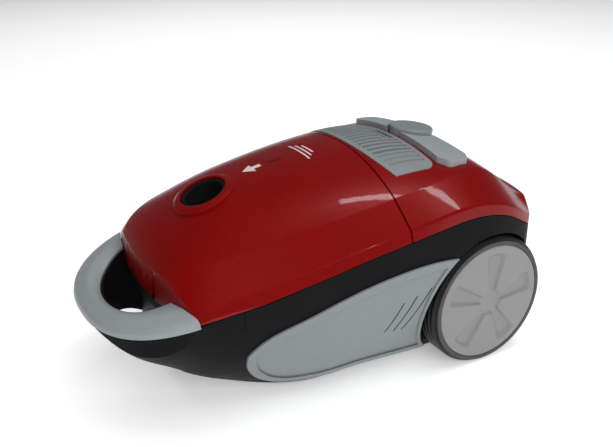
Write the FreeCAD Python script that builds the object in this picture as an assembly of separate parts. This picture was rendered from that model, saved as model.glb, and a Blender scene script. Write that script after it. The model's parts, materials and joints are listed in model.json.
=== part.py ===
import FreeCAD, Part
import math
import os

os.makedirs("parts", exist_ok=True)
V = FreeCAD.Vector
UP = V(0, 0, 1)
ACROSS = V(1, 0, 0)
ALONG = V(0, 1, 0)

# Canister vacuum cleaner. +Z is up, the front handle points to -Y, the floor is z = 0 and
# the origin is under the middle of the whole machine. All sizes are in millimetres.

# ---- driving dimensions ----
body_half_width = 132.0      # shell at its widest, at the seam
chamber_length = 216.5       # nose to lid split
motor_bay_length = 187.5     # lid split to rear face
split_y = 43.5               # rear edge of the lid
split_gap = 1.5
seam_gap = 0.8               # between the red shell and the black hull
wall = 2.5                   # moulded wall of shell and hull
fit_gap = 0.3                # clearance around parts that drop into an opening
slip = 0.05                  # radial clearance of a running shaft
upper_crease_radius = 12.0
lower_crease_radius = 4.0

wheel_radius = 69.0
wheel_width = 30.0
wheel_proud = 5.5            # wheel face outside the widest shell
wheel_y = 141.0
arch_gap = 3.5               # arch edge to tyre
arch_side_gap = 4.5          # wheel back face to arch wall
tyre_thickness = 5.5
hub_cap_radius = 61.4
hub_cap_thickness = 5.0
axle_radius = 4.0

handle_tip = 231.0           # handle front, ahead of the origin
handle_half_width = 110.0
handle_centre_y = -117.5
handle_power = 2.4           # squareness of the handle's plan curve
handle_tip_height = 8.5
handle_end_height = 12.5
grip_half_width = 66.0       # finger opening
grip_length = 55.0
grip_undercut = 12.0         # front wall set back under the nose
grip_undercut_top = 104.0
grip_centre_y = -151.0
grip_liner = 2.5             # black edge around the finger opening
nose_radius = 340.0          # plan curve of the nose

inlet_y = -104.3             # hose inlet
inlet_hole_radius = 22.6
inlet_bore_radius = 18.5
inlet_depth = 26.0
inlet_rim_radius = 31.0

lid_axis_y = 30.5            # lid hinge
lid_axis_z = 210.0
hinge_pin_radius = 2.0

latch_half_width = 36.0
latch_top = 143.0
latch_bottom = 113.5
latch_gap = 0.8
latch_thickness = 4.0
latch_axis_inset = 3.0
latch_axis_drop = 1.6

grille_half_width = 80.0
grille_front = 47.0
grille_rear = 109.5
grille_corner = 12.0
grille_bow = 13.0            # front edge falls back towards the ends
slot_pitch = 7.3
slot_width = 3.6
window_half_width = 16.0
window_length = 7.0
window_y = 99.5

knob_radius = 23.0
knob_height = 9.0
knob_y = 135.9
knob_tilt = 7.0
pedal_inner = 11.0
pedal_outer = 84.0
pedal_front = 113.5
pedal_rear = 152.0
pedal_rise = 6.0             # pedal top above the shell
pedal_travel = 4.0
pedal_wall = 2.5

caster_y = -100.0
caster_trail = 14.0
caster_wheel_radius = 15.0
caster_wheel_width = 18.0
caster_pocket_radius = 32.0
caster_pocket_top = 40.0

partition_y = 22.0           # front face of the wall between bag and motor
partition_thickness = 3.0
deck_z = 181.0               # floor of the control compartment

motor_x = 38.5
motor_z = 85.0
fan_cover_radius = 54.0
fan_cover_length = 36.0
motor_can_radius = 37.0
motor_can_length = 58.0

reel_radius = 66.0
reel_width = 46.0
reel_y = 138.0
reel_z = 92.0

# ---- shape tables: hand-set stations along the machine ----
# seam height: (y, z)
seam_rows = [
    (-250.0, 97.0), (-205.0, 106.0), (-165.0, 114.0), (-104.0, 125.5), (-50.0, 138.0),
    (0.0, 149.0), (45.0, 156.5), (85.0, 162.5), (115.0, 165.0), (145.0, 161.5),
    (168.0, 153.5), (190.0, 141.0), (212.0, 130.5), (250.0, 124.0),
]
# shell: (y, seam half-width, lower crease x, z, upper crease x, z, crown z)
shell_rows = [
    (-180.0, 95.0, 87.0, 117.5, 36.0, 127.0, 131.0),
    (-168.0, 100.0, 94.5, 121.5, 58.0, 144.5, 151.0),
    (-156.0, 103.0, 98.0, 125.0, 68.0, 153.5, 163.0),
    (-138.0, 107.0, 102.0, 130.0, 77.0, 160.5, 174.5),
    (-104.0, 113.5, 109.0, 137.0, 86.5, 167.0, 192.5),
    (-50.0, 122.0, 118.0, 149.0, 94.0, 175.5, 207.0),
    (0.0, 127.5, 124.0, 160.0, 98.5, 183.0, 214.5),
    (45.0, 130.5, 127.5, 167.5, 100.0, 189.5, 218.0),
    (85.0, 132.0, 129.5, 174.5, 99.0, 193.5, 217.5),
    (120.0, 132.0, 129.5, 177.0, 95.0, 197.0, 211.0),
    (150.0, 130.5, 127.5, 171.5, 89.0, 196.5, 205.0),
    (185.0, 125.0, 121.0, 155.5, 86.0, 177.5, 185.0),
    (215.0, 115.0, 110.0, 138.0, 88.0, 154.0, 161.5),
    (245.0, 104.0, 100.0, 129.0, 88.0, 134.0, 139.0),
]
# hull front: (y, shoulder x, z, side x, z, keel x, z)
prow_rows = [
    (-238.0, 96.0, 121.0, 52.0, 112.0, 10.0, 109.0),
    (-222.0, 100.5, 112.5, 53.0, 97.0, 10.0, 91.0),
    (-192.0, 103.5, 109.0, 74.5, 76.5, 17.0, 63.0),
    (-165.0, 105.0, 113.0, 82.5, 67.5, 28.0, 42.0),
]
# hull behind the nose: (y, side x, z, keel x, z); its shoulder is the seam
hull_rows = [
    (-150.0, 87.0, 64.0, 33.5, 30.0),
    (-104.0, 104.0, 67.0, 55.0, 13.0),
    (-50.0, 115.0, 66.0, 84.0, 11.0),
    (0.0, 119.0, 67.0, 87.0, 10.0),
    (45.0, 122.5, 69.0, 90.0, 10.0),
    (85.0, 124.5, 71.0, 93.0, 10.0),
    (120.0, 125.0, 72.0, 94.0, 10.0),
    (150.0, 123.5, 72.0, 94.0, 10.0),
    (185.0, 119.0, 71.0, 92.0, 10.0),
    (215.0, 110.0, 70.0, 88.0, 12.0),
    (245.0, 100.0, 70.0, 82.0, 14.0),
]
table_half_width = 132.0     # the sizes that the tables are written for
table_chamber_length = 216.5
table_bay_length = 187.5
rear_centre_y = 120.0        # rear plan curve
rear_power = 3.5

# ---- derived places ----
width_scale = body_half_width / table_half_width
wheel_face_x = body_half_width + wheel_proud
wheel_back_x = wheel_face_x - wheel_width
arch_x = wheel_back_x - arch_side_gap
arch_radius = wheel_radius + arch_gap
nose_y = split_y - chamber_length
rear_y = split_y + motor_bay_length
nose_centre_y = nose_y + nose_radius
wheel_z = wheel_radius


def place_y(y):
    """Table station moved with the chamber and bay lengths."""
    if y < split_y:
        return split_y + (y - split_y) * chamber_length / table_chamber_length
    return split_y + (y - split_y) * motor_bay_length / table_bay_length


def between(rows, y, column):
    """Smooth value of one table column at y."""
    last = len(rows) - 2
    i = 0
    while i < last and place_y(rows[i + 1][0]) < y:
        i += 1
    ys = [place_y(row[0]) for row in rows]

    def slope(k):
        low = max(k - 1, 0)
        high = min(k + 1, len(rows) - 1)
        return (rows[high][column] - rows[low][column]) / (ys[high] - ys[low])

    span = ys[i + 1] - ys[i]
    t = (y - ys[i]) / span
    start = rows[i][column]
    end = rows[i + 1][column]
    curve = (2 * t ** 3 - 3 * t ** 2 + 1) * start + (3 * t ** 2 - 2 * t ** 3) * end
    return curve + span * (t ** 3 - 2 * t ** 2 + t) * slope(i) + span * (t ** 3 - t ** 2) * slope(i + 1)


def seam_z(y):
    return between(seam_rows, y, 1)


def crown_z(y):
    return between(shell_rows, y, 6)


# ---- small solid helpers ----
def save(name, shape):
    shape.exportStep("parts/" + name + ".step")
    box = shape.BoundBox
    print("%-22s solids %d valid %s  x %.1f %.1f  y %.1f %.1f  z %.1f %.1f" % (
        name, len(shape.Solids), shape.isValid(), box.XMin, box.XMax, box.YMin, box.YMax, box.ZMin, box.ZMax))


def box_between(x0, x1, y0, y1, z0, z1):
    return Part.makeBox(x1 - x0, y1 - y0, z1 - z0, V(x0, y0, z0))


def rod(radius, start, end):
    return Part.makeCylinder(radius, (end - start).Length, start, end - start)


def tube(outer, inner, start, end):
    return rod(outer, start, end).cut(rod(inner, start, end))


def upright_prism(wire, z0, z1):
    """Plan wire at z = 0 raised between two heights."""
    face = Part.Face(wire)
    face.translate(V(0, 0, z0))
    return face.extrude(V(0, 0, z1 - z0))


def rounded_outline(corners, radii):
    """Closed plan wire through corner points, each rounded by its own radius."""
    edges = []
    count = len(corners)
    starts = []
    ends = []
    for i in range(count):
        here = corners[i]
        back = (corners[i - 1] - here).normalize()
        ahead = (corners[(i + 1) % count] - here).normalize()
        half = back.getAngle(ahead) / 2
        reach = radii[i] / math.tan(half)
        middle = here + (back + ahead).normalize() * (radii[i] / math.sin(half) - radii[i])
        starts.append(here + back * reach)
        ends.append(here + ahead * reach)
        edges.append(Part.Arc(starts[i], middle, ends[i]).toShape())
    wire = []
    for i in range(count):
        wire.append(edges[i])
        wire.append(Part.LineSegment(ends[i], starts[(i + 1) % count]).toShape())
    return Part.Wire(wire)


def mirrored(shape):
    return shape.mirror(V(0, 0, 0), ACROSS)


def superellipse(half_x, half_y, centre_y, power, points=16):
    """Closed plan curve, squarer than an ellipse when power is above 2."""
    spots = []
    for i in range(4 * points):
        angle = math.pi * i / (2 * points)
        c = math.cos(angle)
        s = math.sin(angle)
        x = math.copysign(abs(c) ** (2 / power), c) * half_x
        y = math.copysign(abs(s) ** (2 / power), s) * half_y
        spots.append(V(x, centre_y + y, 0))
    curve = Part.BSplineCurve()
    curve.interpolate(spots, PeriodicFlag=True)
    return Part.Wire([curve.toShape()])


# ---- outer surfaces ----
def line(a, b):
    return Part.LineSegment(a, b).toShape()


def arc(a, b, c):
    return Part.Arc(a, b, c).toShape()


def shell_section(y, row_values, inset):
    """Cross-section of the red shell, moved inwards by inset."""
    half, lower_x, lower_z, upper_x, upper_z, crown = row_values
    seam = V(half, 0, seam_z(y))
    lower = V(lower_x, 0, lower_z)
    upper = V(upper_x, 0, upper_z)
    rise = crown - upper_z
    crown_radius = (upper_x ** 2 + rise ** 2) / (2 * rise)
    centre = V(0, 0, crown - crown_radius)
    crown_radius -= inset
    band = (lower - seam).normalize()
    band_in = V(-band.z, 0, band.x)
    side = (upper - lower).normalize()
    side_in = V(-side.z, 0, side.x)
    seam_in = seam + band_in * inset
    seam_in = seam_in + band * ((half - inset - seam_in.x) / band.x)
    bend = band.getAngle(side)
    lower_in = lower + side_in * inset - side * (inset * math.tan(bend / 2))
    small = max(lower_crease_radius - inset, 0.4)
    reach = small * math.tan(bend / 2)
    low_start = lower_in - band * reach
    low_end = lower_in + side * reach
    low_centre = low_start + band_in * small
    low_middle = low_centre - (band_in + side_in).normalize() * small
    large = max(upper_crease_radius - inset, 0.4)
    offset = lower_in + side_in * large - centre
    along = offset.dot(side)
    travel = -along + math.sqrt(along ** 2 - offset.dot(offset) + (crown_radius - large) ** 2)
    high_centre = lower_in + side_in * large + side * travel
    high_start = high_centre - side_in * large
    outward = (high_centre - centre).normalize()
    high_end = centre + outward * crown_radius
    high_middle = high_centre + (outward - side_in).normalize() * large
    top = centre + UP * crown_radius
    foot = V(half - inset, 0, 90.0)
    right = [foot, seam_in, low_start, low_middle, low_end, high_start, high_middle, high_end]
    right = [V(p.x, y, p.z) for p in right]
    left = [V(-p.x, y, p.z) for p in right]
    top = V(0, y, top.z)
    edges = [
        line(right[0], right[1]),
        line(right[1], right[2]),
        arc(right[2], right[3], right[4]),
        line(right[4], right[5]),
        arc(right[5], right[6], right[7]),
        arc(right[7], top, left[7]),
        arc(left[7], left[6], left[5]),
        line(left[5], left[4]),
        arc(left[4], left[3], left[2]),
        line(left[2], left[1]),
        line(left[1], left[0]),
        line(left[0], right[0]),
    ]
    return Part.Wire(edges)


def rear_trim(inset):
    """Everything behind the rear plan curve."""
    start_y = place_y(rear_centre_y)
    plan = superellipse(body_half_width + 1.0 - inset, rear_y - start_y - inset, start_y, rear_power)
    block = box_between(-300, 300, start_y, 400, -50, 400)
    return block.cut(upright_prism(plan, -60, 410))


def nose_block(inset, corner_radius=5.0):
    """Upright prism behind the nose's plan curve, with rounded front corners."""
    front = nose_y + inset
    corner_x = (table_half_width - 31.0) * width_scale - inset
    sag = corner_x ** 2 / (2 * nose_radius)
    far_x = corner_x + 90.0
    corner = V(corner_x, front + sag, 0)
    far = V(far_x, corner.y + 400.0, 0)
    mirror_corner = V(-corner.x, corner.y, 0)
    mirror_far = V(-far.x, far.y, 0)
    wire = Part.Wire([
        arc(corner, V(0, front, 0), mirror_corner),
        line(mirror_corner, mirror_far),
        line(mirror_far, far),
        line(far, corner),
    ])
    block = upright_prism(wire, -20, 320)
    corners = []
    for edge in block.Edges:
        box = edge.BoundBox
        if box.ZLength > 300 and box.YMax < 0:
            corners.append(edge)
    return block.makeFillet(corner_radius, corners)


def behind_nose(inset):
    """Everything behind the nose's plan curve, carried on past its corners."""
    return rod(nose_radius - inset, V(0, nose_centre_y, -50), V(0, nose_centre_y, 350))


def shell_solid(inset):
    """Solid bounded by the outer shell surface moved inwards by inset."""
    wires = []
    for row in shell_rows:
        values = [row[1] * width_scale, row[2] * width_scale, row[3], row[4] * width_scale, row[5], row[6]]
        wires.append(shell_section(place_y(row[0]), values, inset))
    body = Part.makeLoft(wires, True, False)
    return body.common(nose_block(inset)).cut(rear_trim(inset))


def hull_section(y, values, inset):
    """Cross-section of the black hull, moved inwards by inset."""
    shoulder_x, shoulder_z, side_x, side_z, keel_x, keel_z = values
    top = V(shoulder_x - inset, y, 230.0)
    shoulder = V(shoulder_x - inset, y, shoulder_z)
    side = V(side_x - 0.93 * inset, y, side_z + 0.37 * inset)
    keel = V(keel_x - 0.6 * inset, y, keel_z + inset)
    flip = [V(-p.x, y, p.z) for p in (top, shoulder, side, keel)]
    return Part.Wire([
        line(top, shoulder),
        arc(shoulder, side, keel),
        line(keel, flip[3]),
        arc(flip[3], flip[2], flip[1]),
        line(flip[1], flip[0]),
        line(flip[0], top),
    ])


def hull_loft(inset):
    """Boat-shaped solid from the prow to the rear, open-ended in plan."""
    wires = []
    for row in prow_rows:
        values = [row[1] * width_scale, row[2], row[3] * width_scale, row[4], row[5] * width_scale, row[6]]
        wires.append(hull_section(place_y(row[0]), values, inset))
    for row in hull_rows:
        y = place_y(row[0])
        shoulder_x = between(shell_rows, y, 1) * width_scale
        values = [shoulder_x, seam_z(y), row[1] * width_scale, row[2], row[3] * width_scale, row[4]]
        wires.append(hull_section(y, values, inset))
    return Part.makeLoft(wires, True, False).cut(rear_trim(inset))


def handle_plan():
    """Outer plan curve of the handle loop."""
    length = handle_tip + place_y(handle_centre_y)
    return superellipse(handle_half_width * width_scale, length, place_y(handle_centre_y), handle_power)


def seam_side(shift, upper):
    """Everything above or below the seam surface, which is moved up by shift."""
    spots = [V(-300, place_y(row[0]), row[1] + shift) for row in seam_rows]
    curve = Part.BSplineCurve()
    curve.interpolate(spots)
    far_z = 500.0 if upper else -100.0
    first = V(-300, spots[0].y, far_z)
    last = V(-300, spots[-1].y, far_z)
    wire = Part.Wire([curve.toShape(), line(spots[-1], last), line(last, first), line(first, spots[0])])
    return Part.Face(wire).extrude(V(600, 0, 0))


above_seam = seam_side(seam_gap / 2, True)
below_seam = seam_side(-seam_gap / 2, False)
shell_outer = shell_solid(0.0)
shell_inner = shell_solid(wall)
hull_outer_loft = hull_loft(0.0)
prow_trim = box_between(-300, 300, -400, place_y(handle_centre_y), -50, 400).cut(
    upright_prism(handle_plan(), -60, 410))
hull_outer = hull_outer_loft.cut(prow_trim).common(below_seam)
hull_inner = hull_loft(wall).common(behind_nose(grip_undercut + wall))


# ---- black hull ----
wheel_axis_far = 400.0


def across_rod(radius, y, z, x0, x1):
    return rod(radius, V(x0, y, z), V(x1, y, z))


def finger_opening():
    """Through-opening between the handle loop and the nose."""
    start_y = place_y(grip_centre_y)
    plan = superellipse(grip_half_width * width_scale, grip_length, start_y, 2.0)
    high = upright_prism(plan, -60, 300).cut(nose_block(0.0))
    low = upright_prism(plan, -60, grip_undercut_top).cut(nose_block(grip_undercut))
    return high.fuse(low)


def arch_cut(radius, inner_x):
    """Both wheel arches as solids to take away."""
    right = across_rod(radius, wheel_y, wheel_z, inner_x, wheel_axis_far)
    return right.fuse(mirrored(right))


def caster_pocket(radius, top):
    return rod(radius, V(0, caster_y, -20), V(0, caster_y, top))


caster_stem_radius = 5.0
caster_boss_top = caster_pocket_top + wall + 7.0
axle_boss_radius = 10.0
axle_boss_x = arch_x - wall - 12.0
outlet_x = -58.0              # cord gland in the rear wall
outlet_z = 78.0
outlet_radius = 8.0
grip_cut = finger_opening()
foot_z = 20.0                 # underside of the motor and reel feet
screw_radius = 1.5
fan_front_y = partition_y + partition_thickness + 8.0
motor_foot_y = fan_front_y + fan_cover_length + motor_can_length + 10.0
reel_left_x = -84.0
reel_x = reel_left_x + reel_width / 2
screw_places = [
    (motor_x - 20.0, motor_foot_y + 12.0), (motor_x + 20.0, motor_foot_y + 12.0),
    (reel_x - 15.0, reel_y), (reel_x + 15.0, reel_y),
]


def lower_chassis():
    outer = hull_outer.fuse(grip_edge()).cut(arch_cut(arch_radius, arch_x)).cut(grip_cut)
    cavity = hull_inner.cut(arch_cut(arch_radius + wall, arch_x - wall))
    cavity = cavity.cut(caster_pocket(caster_pocket_radius + wall, caster_pocket_top + wall))
    hull = outer.cut(cavity)
    hull = hull.cut(caster_pocket(caster_pocket_radius, caster_pocket_top))
    boss = rod(9.0, V(0, caster_y, caster_pocket_top), V(0, caster_y, caster_boss_top))
    hull = hull.fuse(boss)
    hull = hull.cut(rod(caster_stem_radius + slip, V(0, caster_y, 0), V(0, caster_y, 200)))
    axle_boss = across_rod(axle_boss_radius, wheel_y, wheel_z, axle_boss_x, arch_x)
    hull = hull.fuse(axle_boss).fuse(mirrored(axle_boss))
    hull = hull.cut(across_rod(axle_radius + slip, wheel_y, wheel_z, -arch_x - 1, arch_x + 1))
    gland = rod(outlet_radius + slip, V(outlet_x, rear_y - 40, outlet_z), V(outlet_x, rear_y + 20, outlet_z))
    hull = hull.cut(gland)
    for x, y in screw_places:
        hull = hull.fuse(rod(5.0, V(x, y, 11.5), V(x, y, foot_z)))
    for x, y in screw_places:
        hull = hull.cut(rod(screw_radius, V(x, y, foot_z - 7.0), V(x, y, foot_z + 1)))
    return hull


# ---- front handle ----
handle_steps = 14


def handle_height(y):
    """Height of the handle's crest above its part line."""
    share = (y + handle_tip) / (handle_tip + place_y(grip_centre_y))
    return handle_tip_height + (handle_end_height - handle_tip_height) * share


def inner_edge_share(angle):
    """Height of the handle's inner edge as a share of its crest."""
    return min(0.95, 0.28 + 0.8 * math.sin(angle) ** 4)


def loop_spot(angle, half_width, length, centre_y, power):
    s = math.sin(angle)
    x = math.copysign(abs(s) ** (2 / power), s) * half_width
    y = centre_y - max(math.cos(angle), 0.0) ** (2 / power) * length
    return V(x, y, seam_z(y))


handle_nose_gap = 0.8        # clearance between the handle and the lid's front corners


def handle_ends(angle, inset):
    """Outer and inner foot of the handle at a plan angle from the tip."""
    start_y = place_y(handle_centre_y)
    outer = loop_spot(angle, handle_half_width * width_scale, handle_tip + start_y, start_y, handle_power)
    half_grip = grip_half_width * width_scale + inset
    inner = loop_spot(angle, half_grip, grip_length + inset, place_y(grip_centre_y), 2.0)
    return outer, inner


def handle_section(angle):
    outer, inner = handle_ends(angle, grip_liner + 0.2)
    outer += UP * (seam_gap / 2)
    inner += UP * (seam_gap / 2)
    edge = inner_edge_share(angle)
    profile = [
        (0.03, 0.42), (0.1, 0.66), (0.3, 0.86), (0.55, 1.0), (0.78, 1 - (1 - edge) * 0.3),
        (0.94, 1 - (1 - edge) * 0.75), (1.0, edge),
    ]
    spots = []
    for share, height in profile:
        spot = outer + (inner - outer) * share
        spots.append(spot + UP * (handle_height(spot.y) * height))
    crest = Part.BSplineCurve()
    crest.interpolate(spots)
    return Part.Wire([line(outer, spots[0]), crest.toShape(), line(spots[-1], inner), line(inner, outer)])


def front_handle():
    wires = [handle_section(math.radians(-90 + 180.0 * i / handle_steps)) for i in range(handle_steps + 1)]
    loop = Part.makeLoft(wires, True, False)
    return loop.cut(behind_nose(-handle_nose_gap))


def grip_edge():
    """Raised black edge around the finger opening, inside the grey handle."""
    wires = []
    for i in range(handle_steps + 1):
        angle = math.radians(-90 + 180.0 * i / handle_steps)
        near = handle_ends(angle, grip_liner)[1]
        far = handle_ends(angle, -3.0)[1]
        height = handle_height(near.y) * inner_edge_share(angle) - 2.5
        height = max(height, 0.2)
        wires.append(Part.makePolygon([
            near - UP * 6, near + UP * height, far + UP * height, far - UP * 6, near - UP * 6]))
    return Part.makeLoft(wires, True, False).cut(behind_nose(-fit_gap))


# ---- side panels ----
panel_rise = 2.6
panel_gap = 0.15
panel_recess = 1.2
panel_rim = 8.0
panel_rear_gap = 2.0
panel_top = [V(0, -114, 73), V(0, -100, 89), V(0, -68, 102.5), V(0, -20, 118), V(0, 31, 128.5),
    V(0, 72, 131), V(0, 112, 126)]
panel_front = [V(0, -114, 73), V(0, -112, 56), V(0, -103, 40), V(0, -88, 26), V(0, -68, 19)]
panel_foot = V(0, 112, 11.5)
slit_lines = [(V(0, 24.1, 62.8), V(0, 38.1, 94.3)), (V(0, 34.5, 61.0), V(0, 52.2, 98.7)),
    (V(0, 44.1, 59.4), V(0, 68.0, 104.0))]
slit_width = 1.7


def inset_curve(spots, inset, turn):
    """Smooth curve through the panel's points, moved inwards; turn says which side is inside."""
    placed = [V(0, place_y(p.y), p.z) for p in spots]
    moved = [placed[0] + ALONG * inset]
    for i in range(1, len(placed) - 1):
        run = (placed[i + 1] - placed[i - 1]).normalize()
        moved.append(placed[i] + V(0, -run.z, run.y) * (inset * turn))
    moved.append(placed[-1] + UP * (inset * turn))
    curve = Part.BSplineCurve()
    curve.interpolate(moved)
    return curve.toShape(), moved[-1]


def panel_wire(inset=0.0):
    """Teardrop outline of the side panel, seen from the side."""
    top, end = inset_curve(panel_top, inset, -1)
    front, heel = inset_curve(panel_front, inset, 1)
    foot = V(0, place_y(panel_foot.y), panel_foot.z + inset)
    return Part.Wire([front, line(heel, foot), line(foot, end), top])


def side_prism(wire, x0, x1):
    face = Part.Face(wire)
    face.translate(V(x0, 0, 0))
    return face.extrude(V(x1 - x0, 0, 0))


def slit(start, end):
    """Slanted slot with round ends, cut across the panel."""
    start = V(0, place_y(start.y), start.z)
    end = V(0, place_y(end.y), end.z)
    run = (end - start).normalize()
    across = V(0, -run.z, run.y) * (slit_width / 2)
    wire = Part.Wire([
        line(start + across, end + across),
        arc(end + across, end + run * (slit_width / 2), end - across),
        line(end - across, start - across),
        arc(start - across, start - run * (slit_width / 2), start + across),
    ])
    return side_prism(wire, 60, 200)


def side_panel():
    """Left panel; the right one is its mirror image."""
    clear = across_rod(arch_radius + panel_rear_gap, wheel_y, wheel_z, -10, wheel_axis_far)
    outline = side_prism(panel_wire(), 60, 200).cut(clear)
    skin = outline.common(hull_loft(-panel_rise)).cut(hull_loft(-panel_gap))
    inner_clear = across_rod(arch_radius + panel_rear_gap + 4.0, wheel_y, wheel_z, -10, wheel_axis_far)
    recess = side_prism(panel_wire(panel_rim), 60, 200).cut(inner_clear)
    recess = recess.common(hull_loft(-panel_rise - 2.0)).cut(hull_loft(-panel_recess))
    skin = skin.cut(recess)
    for start, end in slit_lines:
        skin = skin.cut(slit(start, end))
    return skin


# ---- red shell ----
far_box_front = box_between(-300, 300, -400, split_y, -50, 500)
far_box_rear = box_between(-300, 300, split_y + split_gap, 400, -50, 500)


def slope_at(y):
    """Angle of the crown line at y."""
    return math.atan2(crown_z(y + 2) - crown_z(y - 2), 4.0)


inlet_tilt = slope_at(inlet_y)
inlet_axis = V(0, -math.sin(inlet_tilt), math.cos(inlet_tilt))
inlet_centre = V(0, inlet_y, crown_z(inlet_y))


def inlet_rod(radius, low, high):
    return rod(radius, inlet_centre + inlet_axis * low, inlet_centre + inlet_axis * high)


def inlet_turned(profile):
    """Profile of (radius, height) points turned about the inlet axis."""
    spots = [V(r, 0, h) for r, h in profile]
    ring = Part.Face(Part.makePolygon(spots + [spots[0]])).revolve(V(0, 0, 0), UP, 360)
    ring.rotate(V(0, 0, 0), ACROSS, math.degrees(inlet_tilt))
    ring.translate(inlet_centre)
    return ring


def latch_prism(grow):
    """Shield-shaped outline of the lid latch, as a prism along the machine."""
    half = latch_half_width + grow
    low = latch_bottom - (60.0 if grow > 0 else 0.0)
    corners = [V(-half, latch_top + grow, 0), V(half, latch_top + grow, 0), V(half - 9, low, 0),
        V(9 - half, low, 0)]
    face = Part.Face(rounded_outline(corners, [8.0 + grow, 8.0 + grow, 3.0, 3.0]))
    prism = face.extrude(V(0, 0, 40))
    prism.rotate(V(0, 0, 0), ACROSS, 90)
    prism.translate(V(0, nose_y + 30, 0))
    return prism


hinge_ear_inner = 15.5
hinge_ear_outer = 25.0
hinge_knuckle_radius = 4.0


def lid_axis(x):
    return V(x, lid_axis_y, lid_axis_z)


def hinge_ear():
    """Ear under the lid that turns on the hinge pin."""
    block = box_between(hinge_ear_inner, hinge_ear_outer, lid_axis_y - 4, lid_axis_y + 4, lid_axis_z, 240)
    block = block.common(shell_solid(wall - 0.5))
    return block.fuse(rod(hinge_knuckle_radius, lid_axis(hinge_ear_inner), lid_axis(hinge_ear_outer)))


def dust_lid():
    lid = shell_outer.common(above_seam).cut(shell_inner).common(far_box_front)
    bump = inlet_turned([
        (inlet_hole_radius - 1, -4.0), (inlet_hole_radius - 1, 1.4), (inlet_hole_radius + 2, 1.9),
        (inlet_hole_radius + 5, 1.0), (inlet_rim_radius, -1.0), (inlet_rim_radius, -4.0)])
    lid = lid.fuse(bump).cut(inlet_rod(inlet_hole_radius + fit_gap, -20, 20))
    lid = lid.cut(latch_prism(latch_gap))
    ear = hinge_ear()
    lid = lid.fuse(ear).fuse(mirrored(ear))
    lid = lid.cut(latch_pin_rod(slip))
    return lid.cut(rod(hinge_pin_radius + slip, lid_axis(-40), lid_axis(40)))


def latch_axis(x):
    return V(x, nose_y + latch_axis_inset, latch_top - latch_axis_drop)


latch_pin_radius = 1.0


def latch_pin_rod(grow):
    """Pin through the latch's upper edge into the lid skin on both sides."""
    reach = latch_half_width + latch_gap + 1.6
    return rod(latch_pin_radius + grow, latch_axis(-reach - grow), latch_axis(reach + grow))


def lid_latch():
    face = latch_prism(0.0).common(nose_block(0.0)).cut(nose_block(latch_thickness))
    hook = box_between(-10, 10, nose_y + latch_thickness - 0.5, nose_y + latch_thickness + 5,
        latch_bottom + 6, latch_bottom + 10)
    face = face.fuse(hook)
    dimple = rod(9.0, V(16, nose_y - 7.5, latch_bottom + 8), V(16, nose_y - 7.5, latch_bottom + 22))
    return face.cut(dimple).cut(latch_pin_rod(slip))


def inlet_collar():
    """Black hose socket in the lid, with its flange under the skin."""
    collar = inlet_turned([
        (inlet_bore_radius, -inlet_depth), (inlet_bore_radius, -1.0), (inlet_bore_radius + 1.5, 0.0),
        (inlet_hole_radius, 0.0), (inlet_hole_radius, -6.4), (inlet_rim_radius - 1, -6.4),
        (inlet_rim_radius - 1, -8.8), (inlet_bore_radius + 2.5, -8.8), (inlet_bore_radius + 2.5,
            -inlet_depth)])
    return collar


def inlet_gasket():
    """Rubber lip ring that closes the bag's mouth on the collar."""
    return inlet_turned([
        (inlet_bore_radius, -inlet_depth - 4.0), (inlet_bore_radius, -inlet_depth),
        (inlet_bore_radius + 5.5, -inlet_depth), (inlet_bore_radius + 5.5, -inlet_depth - 4.0)])


# ---- rear cover, grille and controls ----
filter_depth = 9.5            # exhaust filter below the shell surface
filter_thickness = 6.5
brake_pivot_y = 114.0
brake_pivot_z = 168.0
brake_pin_radius = 1.5
switch_top = deck_z - 6.0 - pedal_travel - fit_gap


def grille_wire(inset):
    """Plan outline of the exhaust grille; its front edge bows forward."""
    half = grille_half_width - inset
    end_y = grille_front + grille_bow + inset
    sides = [V(-half, end_y, 0), V(-half, grille_rear - inset, 0), V(half, grille_rear - inset, 0),
        V(half, end_y, 0)]
    radius = max(grille_corner - inset, 1.0)
    block = upright_prism(rounded_outline(sides, [radius] * 4), 100, 300)
    front_radius = grille_half_width ** 2 / (2 * grille_bow) + grille_bow / 2
    bulge = rod(front_radius - inset, V(0, grille_front + front_radius, 100),
        V(0, grille_front + front_radius, 300))
    whole = upright_prism(rounded_outline([V(-half, grille_front - 5, 0), sides[1], sides[2],
        V(half, grille_front - 5, 0)],
                                          [radius] * 4), 100, 300)
    return whole.common(bulge), block


def grille_prism(inset):
    return grille_wire(inset)[0]


def plan_slot(x, y0, y1, width, z0, z1):
    """Round-ended slot along the machine."""
    half = width / 2
    body = box_between(x - half, x + half, y0 + half, y1 - half, z0, z1)
    for y in (y0 + half, y1 - half):
        body = body.fuse(rod(half, V(x, y, z0), V(x, y, z1)))
    return body


grille_margin = 6.0
through_slots = 6
end_grooves = 3


def grille_front_y(x):
    return grille_front + x ** 2 * grille_bow / grille_half_width ** 2


def exhaust_grille():
    shell = shell_solid(-0.8).cut(shell_solid(2.2)).common(grille_prism(fit_gap))
    last = through_slots + end_grooves
    grooves = shell_solid(-5.0).cut(shell_solid(0.2))
    for i in range(-last, last + 1):
        x = i * slot_pitch
        front = grille_front_y(x) + grille_margin
        rear = grille_rear - grille_margin
        if abs(i) <= 2:
            rear = window_y - window_length / 2 - 7.5
        cutter = plan_slot(x, front, rear, slot_width, 150, 260)
        if abs(i) > through_slots:
            cutter = cutter.common(grooves)
        shell = shell.cut(cutter)
    bar_y = window_y - window_length / 2 - 4.0
    bar = box_between(-window_half_width, window_half_width, bar_y - 1, bar_y + 1, 150, 260)
    window = box_between(
        -window_half_width, window_half_width, window_y - window_length / 2, window_y + window_length / 2, 150, 260)
    return shell.cut(bar).cut(window)


def indicator_window():
    pane = box_between(
        -window_half_width + slip, window_half_width - slip, window_y - window_length / 2 + slip,
        window_y + window_length / 2 - slip, 150, 260)
    return pane.common(shell_solid(0.6)).cut(shell_solid(2.2))


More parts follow.
